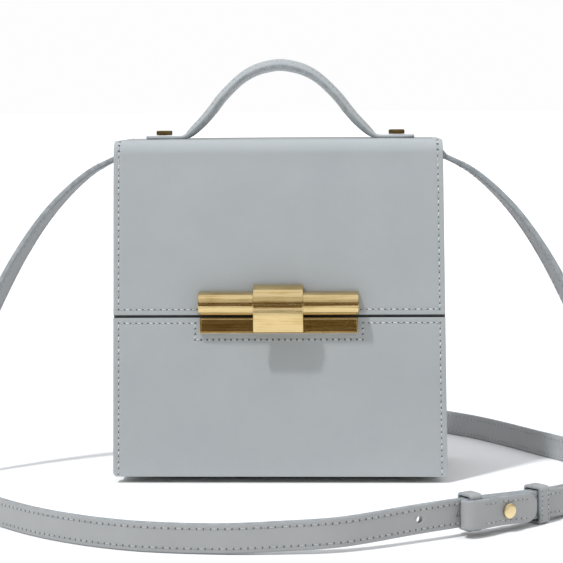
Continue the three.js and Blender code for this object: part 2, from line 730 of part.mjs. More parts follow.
// Places of the clasp: out from the flap's face, and up
const barZ = SEAM_HEIGHT + SEAM_GAP / 2 + BAR_RISE;
const barOut = GAP + BAR_STANDOFF;
const hoodRadius = BAR_RADIUS + GAP + LATCH_WALL;
const hingeZ = barZ + hoodRadius - HINGE_RADIUS - HINGE_SINK;
const tongueLow = barZ - LATCH_DROP;
const plateHigh = SEAM_HEIGHT - SEAM_GAP / 2 - PLATE_DROP;

// A profile drawn out from the flap's face and up, extruded across the front
function across(shape, width) {
  const geometry = new THREE.ExtrudeGeometry(shape, { depth: width, bevelEnabled: false, curveSegments: 10 });
  geometry.applyMatrix4(new THREE.Matrix4().set(0, 0, -1, width / 2, -1, 0, 0, frontY, 0, 1, 0, 0, 0, 0, 0, 1));
  return geometry;
}

function axisBar(radius, width, out, z, sides) {
  const geometry = new THREE.CylinderGeometry(radius, radius, width, sides);
  return geometry.rotateZ(Math.PI / 2).translate(0, frontY - out, z);
}

// A half-round bar with a flat back, and the lug that carries the latch's pin
function claspBar() {
  const shape = new THREE.Shape();
  shape.moveTo(GAP, barZ - BAR_RADIUS);
  shape.lineTo(barOut, barZ - BAR_RADIUS);
  shape.absarc(barOut, barZ, BAR_RADIUS, -0.5 * Math.PI, 0.5 * Math.PI);
  shape.lineTo(GAP, barZ + BAR_RADIUS);
  const lugHeight = hingeZ - barZ;
  const lug = new THREE.BoxGeometry(HINGE_LUG_WIDTH, 2 * HINGE_RADIUS, lugHeight);
  lug.translate(0, frontY - HINGE_STANDOFF, barZ + lugHeight / 2);
  const eye = axisBar(HINGE_RADIUS, HINGE_LUG_WIDTH, HINGE_STANDOFF, hingeZ, 16);
  const hole = axisBar(PIN_RADIUS + GAP, 2 * HINGE_LUG_WIDTH, HINGE_STANDOFF, hingeZ, 12);
  return cut(join(across(shape, BAR_LENGTH), lug, eye), hole);
}

// The wrap over the bar: a round hood with a barrel along its top, a flat tongue and a catch
function claspLatch() {
  const inner = BAR_RADIUS + GAP;
  const face = barOut + hoodRadius;
  const shape = new THREE.Shape();
  shape.moveTo(HINGE_STANDOFF, barZ + inner);
  shape.lineTo(barOut, barZ + inner);
  shape.absarc(barOut, barZ, inner, 0.5 * Math.PI, 0, true);
  shape.lineTo(face - LATCH_TONGUE, barZ - BAR_RADIUS);
  shape.lineTo(face - LATCH_TONGUE, tongueLow);
  shape.lineTo(face, tongueLow);
  shape.lineTo(face, barZ);
  shape.absarc(barOut, barZ, hoodRadius, 0, 0.5 * Math.PI);
  shape.lineTo(HINGE_STANDOFF, barZ + hoodRadius - HINGE_SINK);
  const hood = across(shape, LATCH_WIDTH);
  const barrel = axisBar(HINGE_RADIUS, LATCH_WIDTH, HINGE_STANDOFF, hingeZ, 16);
  const catchOut = 2 * GAP + PLATE_THICKNESS + PLATE_RIM_RISE;
  const reach = face - LATCH_TONGUE / 2 - catchOut;
  const lug = new THREE.BoxGeometry(LATCH_LUG_WIDTH, reach, LATCH_LUG_HEIGHT);
  lug.translate(0, frontY - catchOut - reach / 2, tongueLow + LATCH_LUG_LIFT + LATCH_LUG_HEIGHT / 2);
  const slotWidth = HINGE_LUG_WIDTH + 2 * GAP;
  const slotDepth = HINGE_STANDOFF + HINGE_RADIUS + GAP;
  const slot = new THREE.BoxGeometry(slotWidth, 2 * slotDepth, 3 * HINGE_RADIUS + 2 * GAP);
  slot.translate(0, frontY, hingeZ);
  const hole = axisBar(PIN_RADIUS + GAP, 2 * LATCH_WIDTH, HINGE_STANDOFF, hingeZ, 12);
  return cut(join(hood, barrel, lug), slot, hole);
}

function claspPin() {
  return axisBar(PIN_RADIUS, LATCH_WIDTH - 2 * GAP, HINGE_STANDOFF, hingeZ, 12);
}

// A plate with a raised rim, let flat on the facing below the bar
function claspPlate() {
  const length = BAR_LENGTH - 2 * PLATE_END_INSET;
  const thickness = PLATE_THICKNESS + PLATE_RIM_RISE;
  const plate = new THREE.BoxGeometry(length, thickness, PLATE_HEIGHT);
  plate.translate(0, frontY - GAP - thickness / 2, plateHigh - PLATE_HEIGHT / 2);
  const pocket = new THREE.BoxGeometry(length - 2 * PLATE_RIM, 2 * PLATE_RIM_RISE, PLATE_HEIGHT - 2 * PLATE_RIM);
  pocket.translate(0, frontY - GAP - thickness, plateHigh - PLATE_HEIGHT / 2);
  return cut(plate, pocket);
}

const bag = new THREE.Group();

const body = new THREE.Group();
body.add(piece('back_panel', backPanel(), LEATHER));
body.add(piece('front_wall', frontWall(), LEATHER));
body.add(piece('front_facing', frontFacing(), LEATHER));
body.add(piece('gusset', gusset(), LEATHER));
body.add(piece('flap', flap(), LEATHER));
const footInset = SKIN + WALL + 2 * GAP + FLANGE + GAP + FOOT_RADIUS + FOOT_SETBACK;
for (const [end, y] of [['front', frontY + footInset], ['back', backY - footInset]]) {
  for (const [hand, side] of [['left', -1], ['right', 1]]) {
    const mesh = piece(`foot_${end}_${hand}`, foot(), BRASS);
    mesh.position.set((side * FOOT_SPACING) / 2, y, 0);
    body.add(mesh);
  }
}
bag.add(body);

const carry = new THREE.Group();
carry.add(piece('handle', handle(), LEATHER));
for (const [hand, side] of [['left', -1], ['right', 1]]) {
  const mesh = piece(`handle_stud_${hand}`, handleStud(), BRASS);
  mesh.position.set((side * STUD_SPACING) / 2, midY, BODY_TOP + 2 * GAP + HANDLE_FOOT_THICKNESS);
  carry.add(mesh);
}
bag.add(carry);

const clasp = new THREE.Group();
clasp.add(piece('clasp_bar', claspBar(), GOLD));
clasp.add(piece('clasp_latch', claspLatch(), GOLD));
clasp.add(piece('clasp_pin', claspPin(), GOLD));
clasp.add(piece('clasp_plate', claspPlate(), GOLD));
bag.add(clasp);

const strap = new THREE.Group();
for (const [hand, side] of [['left', -1], ['right', 1]]) {
  strap.add(piece(`strap_tab_${hand}`, tab(side), LEATHER_EDGE));
  strap.add(piece(`strap_ring_${hand}`, ring(side), GOLD));
}
strap.add(piece('strap_left', strapLeft(), LEATHER));
strap.add(piece('strap_right', strapRight(), LEATHER));
strap.add(piece('strap_keeper_end', keeperEnd(), LEATHER));
strap.add(piece('strap_keeper_slide', keeperSlide(), LEATHER));
strap.add(piece('strap_stud', rivet(), GOLD));
bag.add(strap);

export default bag;
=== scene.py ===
"""A box bag in smooth pale grey leather, with a gold bar clasp and its strap laid round it."""

import logging
import math
from dataclasses import dataclass, field
from enum import Enum
from typing import Callable

import bmesh
import bpy
from bmesh.types import BMesh, BMVert
from bpy.types import ID, Material, Mesh, Node, NodeSocket, NodeTree, Object
from mathutils import Matrix, Quaternion, Vector


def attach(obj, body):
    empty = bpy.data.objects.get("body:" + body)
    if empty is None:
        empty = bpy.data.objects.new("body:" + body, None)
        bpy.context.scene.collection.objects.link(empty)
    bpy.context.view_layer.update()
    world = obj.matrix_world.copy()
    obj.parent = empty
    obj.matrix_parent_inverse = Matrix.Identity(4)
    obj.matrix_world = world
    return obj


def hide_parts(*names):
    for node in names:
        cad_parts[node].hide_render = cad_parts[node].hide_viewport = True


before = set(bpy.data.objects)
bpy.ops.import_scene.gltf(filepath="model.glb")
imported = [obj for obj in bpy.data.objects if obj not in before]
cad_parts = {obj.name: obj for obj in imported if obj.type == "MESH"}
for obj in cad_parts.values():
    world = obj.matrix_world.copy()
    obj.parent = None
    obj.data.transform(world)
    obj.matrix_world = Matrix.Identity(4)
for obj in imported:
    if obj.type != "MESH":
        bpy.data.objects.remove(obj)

LOG = logging.getLogger("box_bag")
MM = 0.001
UP = Vector((0, 0, 1))
AHEAD = Vector((0, -1, 0))
# Points that are measured along a seam, and stitches that are built at a time
SAMPLES = 400
GROUP = 60


class Side(Enum):
    """The bag's own sides, as seen from the front."""

    LEFT = -1
    RIGHT = 1


def linear(colour: str) -> tuple[float, float, float, float]:
    """Turn an sRGB hex colour into a linear one.

    Args:
        colour: The colour, such as "#A6ABAE".

    Returns:
        Red, green, blue and alpha in linear light.
    """
    parts = [int(colour[i:i + 2], 16) / 255 for i in (1, 3, 5)]
    return (*(c / 12.92 if c <= 0.04045 else ((c + 0.055) / 1.055) ** 2.4 for c in parts), 1.0)


def mix(low: float, high: float, share: float) -> float:
    """Return the value at a share of the way from low to high."""
    return low + (high - low) * share


def ease(share: float) -> float:
    """Return a share that leaves 0 and reaches 1 gently."""
    share = min(max(share, 0.0), 1.0)
    return share * share * (3 - 2 * share)


def spaced(start: float, end: float, step: float) -> list[float]:
    """List evenly spaced values.

    Args:
        start: The first value.
        end: The last value.
        step: The widest spacing.

    Returns:
        The values, both ends among them.
    """
    count = max(1, math.ceil(abs(end - start) / step))
    return [mix(start, end, i / count) for i in range(count + 1)]


def feed(node: Node, inputs: dict[str | int, object]) -> None:
    """Link sockets to a node's inputs, and set its plain values.

    Args:
        node: The node.
        inputs: Output sockets or plain values, by the name or number of the input they go to.
    """
    for name, source in inputs.items():
        if isinstance(source, NodeSocket):
            node.id_data.links.new(source, node.inputs[name])
        else:
            node.inputs[name].default_value = source


def add(tree: NodeTree, kind: str, inputs: dict[str | int, object] | None = None, **settings: object) -> Node:
    """Add a node.

    Args:
        tree: The material's or world's node tree.
        kind: The node's type name without its ShaderNode prefix.
        inputs: What goes to its inputs.
        settings: The node's own properties.

    Returns:
        The new node.
    """
    node = tree.nodes.new("ShaderNode" + kind)
    for name, value in settings.items():
        setattr(node, name, value)
    feed(node, inputs or {})
    return node


def noise(
    tree: NodeTree, place: NodeSocket, size: float, detail: float = 2.0, rough: float = 0.5,
) -> NodeSocket:
    """Return a noise of a size in millimetres."""
    inputs = {"Vector": place, "Scale": 1 / (size * MM), "Detail": detail, "Roughness": rough}
    return add(tree, "TexNoise", inputs).outputs["Fac"]


def bump(
    tree: NodeTree, height: NodeSocket, strength: float, depth: float, under: NodeSocket | None = None,
) -> NodeSocket:
    """Return a relief of a depth in millimetres, over another one if it is given."""
    inputs = {"Height": height, "Strength": strength, "Distance": depth * MM}
    if under is not None:
        inputs["Normal"] = under
    return add(tree, "Bump", inputs).outputs[0]


def ramp(tree: NodeTree, value: NodeSocket, stops: list[tuple[float, str]]) -> NodeSocket:
    """Colour a value between stops.

    Args:
        tree: The node tree.
        value: The value, from 0 to 1.
        stops: Places and their sRGB colours, in rising order.

    Returns:
        The colour socket.
    """
    node = add(tree, "ValToRGB", {"Fac": value})
    marks = node.color_ramp.elements
    while len(marks) < len(stops):
        marks.new(0.5)
    for mark, (place, colour) in zip(marks, stops):
        mark.position = place
        mark.color = linear(colour)
    return node.outputs["Color"]


def as_mesh(name: str, shell: BMesh, *materials: Material) -> Mesh:
    """Turn a shape, which is used up, into a mesh with its materials."""
    mesh = bpy.data.meshes.new(name)
    shell.to_mesh(mesh)
    shell.free()
    for material in materials:
        mesh.materials.append(material)
    return mesh


def in_scene(name: str, data: ID) -> Object:
    """Make an object of a mesh, a lamp or a camera, and put it in the scene."""
    made = bpy.data.objects.new(name, data)
    bpy.context.scene.collection.objects.link(made)
    return made


@dataclass(frozen=True)
class Finish:
    """A finish with its name, and the material that is made once for it."""

    name: str

    def material(self) -> Material:
        """Return this finish's material, made on first use."""
        found = bpy.data.materials.get(self.name)
        if found:
            return found
        made = bpy.data.materials.new(self.name)
        made.use_nodes = True
        made.node_tree.nodes.clear()
        tree = made.node_tree
        surface = add(tree, "BsdfPrincipled")
        add(tree, "OutputMaterial", {"Surface": surface.outputs["BSDF"]})
        self.dress(tree, surface, add(tree, "TexCoord").outputs["Object"])
        return made

    def dress(self, tree: NodeTree, surface: Node, place: NodeSocket) -> None:
        """Set the surface's colour, gloss and relief at each place of the piece."""
        raise NotImplementedError


@dataclass(frozen=True)
class SmoothCalf(Finish):
    """Box calf, dyed through and glazed: pale, close grained, with a soft satin light."""

    tone: str = "#A8ADAF"
    shade: str = "#A2A8AA"
    gloss: float = 0.4
    grain_mm: float = 0.9
    relief: float = 0.10

    def dress(self, tree: NodeTree, surface: Node, place: NodeSocket) -> None:
        """Set dye clouds, pores and a slight waviness of the skin."""
        clouds = {0: 0.28, 2: noise(tree, place, 38, 3.0), 3: noise(tree, place, 5, 4.0, 0.62)}
        tones = add(tree, "Mix", clouds, data_type="FLOAT").outputs[0]
        # Pores of calf are near 0.3 mm apart, which is too fine to show, so they are drawn coarser
        pores = add(tree, "TexVoronoi", {
            "Vector": place, "Scale": 1 / (self.grain_mm * MM), "Randomness": 0.9,
        }, feature="SMOOTH_F1").outputs["Distance"]
        fine = noise(tree, place, 1.6, 5.0, 0.6)
        gloss = add(tree, "MapRange", {
            "Value": fine, "To Min": self.gloss - 0.06, "To Max": self.gloss + 0.08,
        })
        waved = bump(tree, noise(tree, place, 26, 1.5, 0.4), 0.22, 1.1)
        rough = bump(tree, fine, self.relief, 0.35, waved)
        feed(surface, {
            "Base Color": ramp(tree, tones, [(0.3, self.shade), (0.7, self.tone)]),
            "Roughness": gloss.outputs[0],
            "Normal": bump(tree, pores, self.relief * 1.6, 0.16, rough),
            "IOR": 1.48,
            "Sheen Weight": 0.06,
            "Sheen Roughness": 0.45,
        })


@dataclass(frozen=True)
class EdgePaint(Finish):
    """Edge paint: a thick, slightly domed coat over cut leather, smooth and a little darker."""

    tone: str = "#9AA0A3"
    shade: str = "#858B8E"

    def dress(self, tree: NodeTree, surface: Node, place: NodeSocket) -> None:
        """Set the paint's uneven coat."""
        coat = noise(tree, place, 3.2, 3.0)
        feed(surface, {
            "Base Color": ramp(tree, coat, [(0.3, self.shade), (0.7, self.tone)]),
            "Normal": bump(tree, coat, 0.25, 0.2),
            "Roughness": 0.38,
            "IOR": 1.5,
        })


@dataclass(frozen=True)
class Thread(Finish):
    """Waxed polyester sewing thread of two twisted plies, with the light of wax on it."""

    tone: str = "#D2D5D6"
    shade: str = "#ACB0B2"
    ply_mm: float = 0.55

    def dress(self, tree: NodeTree, surface: Node, place: NodeSocket) -> None:
        """Set the twist's slanting bands."""
        twist = add(tree, "TexWave", {
            "Vector": place, "Scale": 1 / (self.ply_mm * MM * 20), "Distortion": 2.0,
        }, bands_direction="DIAGONAL").outputs["Fac"]
        feed(surface, {
            "Base Color": ramp(tree, twist, [(0.1, self.shade), (0.75, self.tone)]),
            "Normal": bump(tree, twist, 0.4, 0.08),
            "Roughness": 0.5,
        })


@dataclass(frozen=True)
class PaintedHoleShade(Finish):
    """Painted shade: the shaded mouth of a stitch hole in leather, drawn as a dark colour."""

    tone: str = "#6A6E70"
    shade: str = "#585C5E"

    def dress(self, tree: NodeTree, surface: Node, place: NodeSocket) -> None:
        """Set a dark, slightly uneven colour: painted shade inside the hole."""
        grain = noise(tree, place, 0.8)
        feed(surface, {
            "Base Color": ramp(tree, grain, [(0.2, self.shade), (0.8, self.tone)]),
            "Roughness": 0.9,
        })


@dataclass(frozen=True)
class PlatedBrass(Finish):
    """Brass plated light gold: brushed along its length, or polished where the lines are faint."""

    tone: str = "#DBC28D"
    painted_streak: str = "#B99C62"
    gloss: float = 0.13
    line_mm: float = 1.1
    relief: float = 0.34
    along: tuple[float, float, float] = (0.03, 1.0, 1.0)

    def dress(self, tree: NodeTree, surface: Node, place: NodeSocket) -> None:
        """Set brushed lines in gloss and relief, and darker streaks of colour along them: a painted reflection
        of the brushing, mixed with a faint random change.
        """
        drawn = add(tree, "Mapping", {"Vector": place, "Scale": self.along}).outputs[0]
        drawn_lines = noise(tree, drawn, self.line_mm, 5.0, 0.65)
        hands = noise(tree, place, 14)
        tones = add(tree, "Mix", {0: 0.35, 2: drawn_lines, 3: hands}, data_type="FLOAT").outputs[0]
        gloss = add(tree, "MapRange", {
            "Value": drawn_lines, "From Min": 0.25, "From Max": 0.75,
            "To Min": self.gloss - 0.05, "To Max": self.gloss + 0.09,
        })
        # The darker colour along the brushed lines is painted reflection of the brushing
        feed(surface, {
            "Base Color": ramp(tree, tones, [(0.33, self.painted_streak), (0.5, self.tone)]),
            "Roughness": gloss.outputs[0],
            "Normal": bump(tree, drawn_lines, self.relief, 0.12),
            "Metallic": 1.0,
        })


CALF = SmoothCalf("smooth_calf")
LINING = SmoothCalf("split_leather", tone="#63676A", shade="#585C5E", gloss=0.62, relief=0.16)
STRAP_CALF = SmoothCalf("strap_calf", tone="#9EA0A1", shade="#989A9B", gloss=0.42, grain_mm=0.8)
# The strap's rougher back face, in a tone lighter than the front: painted fill light on the back where it lies
# in shade
STRAP_BACK_PAINTED_FILL = SmoothCalf("strap_back_painted_fill", tone="#A6A8AA", shade="#9EA0A2", gloss=0.55, relief=0.16)
PAINT = EdgePaint("edge_paint")
THREAD = Thread("waxed_thread")
STRAP_THREAD = Thread("strap_thread", tone="#B2B5B7", shade="#96999B")
HOLE_SHADE = PaintedHoleShade("painted_hole_shade")
GOLD = PlatedBrass("gold_plate")
SATIN_GOLD = PlatedBrass("satin_gold", tone="#F0DDAE", painted_streak="#E4D09C", gloss=0.42, relief=0.08)
STUD_BRASS = PlatedBrass("dark_brass", tone="#7E6C45", painted_streak="#665636", gloss=0.3, relief=0.05)
# The feet's brass is darkened all over: painted shade for the dark space under the bag
SHADED_FOOT_BRASS = PlatedBrass("foot_brass", tone="#7A6238", painted_streak="#66502B", gloss=0.4, relief=0.05)


def between(section: list[tuple[float, float]], column: float) -> tuple[float, float]:
    """Return a place on a closed outline, whose last point is its first one again.

    Args:
        section: The outline's points.
        column: The point's number, with a share of the way to the next one.

    Returns:
        Across and through.
    """
    column %= len(section) - 1
    low = int(column)
    near, far = section[low], section[low + 1]
    return mix(near[0], far[0], column - low), mix(near[1], far[1], column - low)


@dataclass
class Skin:
    """A surface as a grid of columns and rows, in millimetres, and the rule that places each point.

    The grid's own values are kept as a UV map, so that a pattern can follow the surface.
    """

    columns: list[float]
    rows: list[float]
    place: Callable[[float, float], Vector]
    finish: Callable[[float, float], int] = lambda column, row: 0
    closed: bool = False

    def shell(self) -> BMesh:
        """Build the surface, closed into a tube with capped ends where it is one."""
        across, along = len(self.columns) - 1, len(self.rows) - 1
        shell = bmesh.new()
        bmesh.ops.create_grid(shell, x_segments=across, y_segments=along, size=0.5)
        surface = shell.loops.layers.uv.new("surface")
        marks = {
            v: (self.columns[round((v.co.x + 0.5) * across)], self.rows[round((v.co.y + 0.5) * along)])
            for v in shell.verts
        }
        for face in shell.faces:
            corners = [marks[v] for v in face.verts]
            face.material_index = self.finish(sum(c[0] for c in corners) / 4, sum(c[1] for c in corners) / 4)
            face.smooth = True
            for loop in face.loops:
                loop[surface].uv = Vector(marks[loop.vert]) * MM
        for vert, (column, row) in marks.items():
            vert.co = self.place(column, row)
        if self.closed:
            bmesh.ops.remove_doubles(shell, verts=shell.verts[:], dist=0.0005)
            bmesh.ops.holes_fill(shell, edges=[e for e in shell.edges if e.is_boundary], sides=0)
            bmesh.ops.recalc_face_normals(shell, faces=shell.faces[:])
        return shell

    def normal(self, column: float, row: float) -> Vector:
        """Return the outward direction at a place of the grid."""
        step = 0.05
        across = self.place(column + step, row) - self.place(column - step, row)
        along = self.place(column, row + step) - self.place(column, row - step)
        return across.cross(along).normalized()

    def outward(self, column: float, row: float) -> float:
        """Return 1 where a tube's own normal points away from its middle, and -1 where it doesn't."""
        turn = len(self.columns) - 1
        away = self.place(column, row) - self.place((column + turn / 2) % turn, row)
        return 1.0 if self.normal(column, row).dot(away) > 0 else -1.0


@dataclass
class Seam:
    """Sewing of one pitch along lines on skins: each stitch a thread, with dark discs of painted hole shade at
    its two needle holes unless their size is zero.
    """

    pitch: float = 3.3
    length: float = 2.5
    width: float = 0.72
    height: float = 0.42
    hole: float = 0.5
    slant: float = -7.0
    places: list[tuple[Vector, Vector, Vector]] = field(default_factory=list)

    def sew(
        self, skin: Skin, start: tuple[float, float], end: tuple[float, float], side: float = 1.0,
    ) -> None:
        """Lay stitches on a skin along a straight line of its grid.

        Args:
            skin: The skin that is sewn.
            start: The first column and row.
            end: The last column and row.
            side: 1 on the skin's outward face, or -1 on the other.
        """
        def spot(share: float) -> tuple[float, float]:
            """Return the column and row at a share of the line."""
            return mix(start[0], end[0], share), mix(start[1], end[1], share)

        points = [skin.place(*spot(i / SAMPLES)) for i in range(SAMPLES + 1)]
        far = [0.0]
        for a, b in zip(points, points[1:]):
            far.append(far[-1] + (b - a).length)
        count = max(1, round(far[-1] / self.pitch))
        step = far[-1] / count
        i = 0
        for k in range(count):
            middle = (k + 0.5) * step
            while far[i + 1] < middle:
                i += 1
            place = spot((i + (middle - far[i]) / (far[i + 1] - far[i])) / SAMPLES)
            along = (points[i + 1] - points[i]).normalized()
            self.places.append((skin.place(*place), along, skin.normal(*place) * side))

    def shell(self) -> BMesh:
        """Build every stitch and its discs of painted hole shade, in groups that are added to one mesh."""
        whole = bmesh.new()
        for first in range(0, len(self.places), GROUP):
            group = bmesh.new()
            for middle, along, out in self.places[first:first + GROUP]:
                self.stitch(group, middle, along, out)
            mesh = as_mesh("stitches", group)
            whole.from_mesh(mesh)
            bpy.data.meshes.remove(mesh)
        return whole

    def stitch(self, group: BMesh, middle: Vector, along: Vector, out: Vector) -> None:
        """Add one stitch, turned a little across its line as a saddle stitch is."""
        way = Quaternion(out, math.radians(self.slant)) @ along
        axes = Matrix((way, out.cross(way), out)).transposed().to_4x4()
        size = Matrix.Diagonal((self.length / 2, self.width / 2, self.height, 1))
        place = Matrix.Translation(middle)
        turn = place @ axes @ size
        made = bmesh.ops.create_uvsphere(group, u_segments=7, v_segments=4, radius=1, matrix=turn)
        for face in {f for v in made["verts"] for f in v.link_faces}:
            face.smooth = True
        # Each needle hole is a flat dark disc just above the leather: painted shade in the hole
        for end in (-1, 1) if self.hole else ():
            mouth = place @ Matrix.Translation(way * (end * self.pitch * 0.5) + out * 0.04) @ axes
            made = bmesh.ops.create_circle(group, cap_ends=True, segments=6, radius=self.hole, matrix=mouth)
            for face in {f for v in made["verts"] for f in v.link_faces}:
                face.material_index = 1


def outfit(
    name: str,
    shell: BMesh,
    finishes: list[Finish],
    nodes: tuple[str, ...] = (),
    body: str = "bag",
    crease: float | None = None,
) -> Object:
    """Make a finished piece of a shape drawn in millimetres.

    Args:
        name: The piece's name.
        shell: The shape, which is used up.
        finishes: Its finishes, in the order of its faces' numbers.
        nodes: The solids that it stands for.
        body: The body it moves with.
        crease: The angle past which an edge stays sharp, in degrees, or None for smooth all over.

    Returns:
        The new object.
    """
    bmesh.ops.scale(shell, vec=(MM, MM, MM), verts=shell.verts[:])
    mesh = as_mesh(name, shell, *(finish.material() for finish in finishes))
    if crease is not None:
        mesh.shade_smooth()
        mesh.set_sharp_from_angle(angle=math.radians(crease))
    made = in_scene(name, mesh)
    if nodes:
        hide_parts(*nodes)
    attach(made, body)
    LOG.info("%s: %d faces", name, len(mesh.polygons))
    return made


def thicken(piece: Object, thickness: float, round_over: float = 0.45) -> None:
    """Give a skin its thickness inwards, a painted rim and rounded edges.

    Args:
        piece: The skin, whose second finish is the rim's.
        thickness: Its thickness in millimetres.
        round_over: How far its edges are rounded, in millimetres.
    """
    wall = piece.modifiers.new("thickness", "SOLIDIFY")
    wall.thickness = thickness * MM
    wall.offset = -1
    wall.use_even_offset = True
    wall.material_offset_rim = 1
    edge = piece.modifiers.new("rounded_edge", "BEVEL")
    edge.width = round_over * MM
    edge.segments = 3
    edge.limit_method = "ANGLE"
    edge.angle_limit = math.radians(50)
    edge.harden_normals = True


def extruded(outline: list[tuple[float, float]], width: float, front: float, edge: float) -> BMesh:
    """Draw a metal profile out from the flap's face and up, and extrude it across the front.

    Args:
        outline: The profile's points, out from the face and up, in millimetres.
        width: Its length across the front.
        front: The face's place.
        edge: How far its end edges are rounded.

    Returns:
        The shape, centred across the front.
    """
    shell = bmesh.new()
    ring = [shell.verts.new((-width / 2, front - out, up)) for out, up in outline]
    face = shell.faces.new(ring)
    grown = bmesh.ops.extrude_face_region(shell, geom=[face])
    moved = [v for v in grown["geom"] if isinstance(v, BMVert)]
    bmesh.ops.translate(shell, verts=moved, vec=(width, 0, 0))
    bmesh.ops.recalc_face_normals(shell, faces=shell.faces[:])
    if edge:
        ends = [e for e in shell.edges if abs(e.verts[0].co.x - e.verts[1].co.x) < 1e-6]
        bevel(shell, ends, edge)
    return shell


def bevel(shell: BMesh, edges: list, offset: float) -> None:
    """Round some edges of a shape."""
    bmesh.ops.bevel(
        shell, geom=edges, offset=offset, offset_type="OFFSET", segments=3, profile=0.5, affect="EDGES",
        material=-1,
    )


def arc(
    out: float, up: float, radius: float, start: float, end: float, steps: int,
) -> list[tuple[float, float]]:
    """List the points of an arc between two angles, in degrees."""
    return [
        (out + radius * math.cos(math.radians(mix(start, end, i / steps))),
         up + radius * math.sin(math.radians(mix(start, end, i / steps))))
        for i in range(steps + 1)
    ]


def turned(profile: list[tuple[float, float]], centre: Vector, axis: Vector, steps: int = 48) -> BMesh:
    """Turn a profile of radius and height round an axis.

    Args:
        profile: Radius and height along the axis, from one end of the axis to the other.
        centre: Where height is zero.
        axis: The axis.
        steps: The number of sides.

    Returns:
        The closed shape.
    """
    shell = bmesh.new()
    ring = [shell.verts.new((radius, 0, height)) for radius, height in profile]
    edges = [shell.edges.new(pair) for pair in zip(ring, ring[1:])]
    bmesh.ops.spin(
        shell, geom=[*ring, *edges], cent=(0, 0, 0), axis=(0, 0, 1), dvec=(0, 0, 0), angle=math.tau,
        steps=steps, use_merge=True, use_duplicate=False,
    )
    bmesh.ops.remove_doubles(shell, verts=shell.verts[:], dist=0.0005)
    bmesh.ops.recalc_face_normals(shell, faces=shell.faces[:])
    place = Matrix.Translation(centre) @ UP.rotation_difference(axis).to_matrix().to_4x4()
    bmesh.ops.transform(shell, matrix=place, verts=shell.verts[:])
    return shell


FOOT_PROFILE = [
    (0, 0), (2.6, 0), (3.3, 0.15), (3.8, 0.6), (4.0, 1.2), (4.0, 3.2), (3.6, 3.7), (3.2, 4.2), (3.2, 6.3),
    (0, 6.3),
]


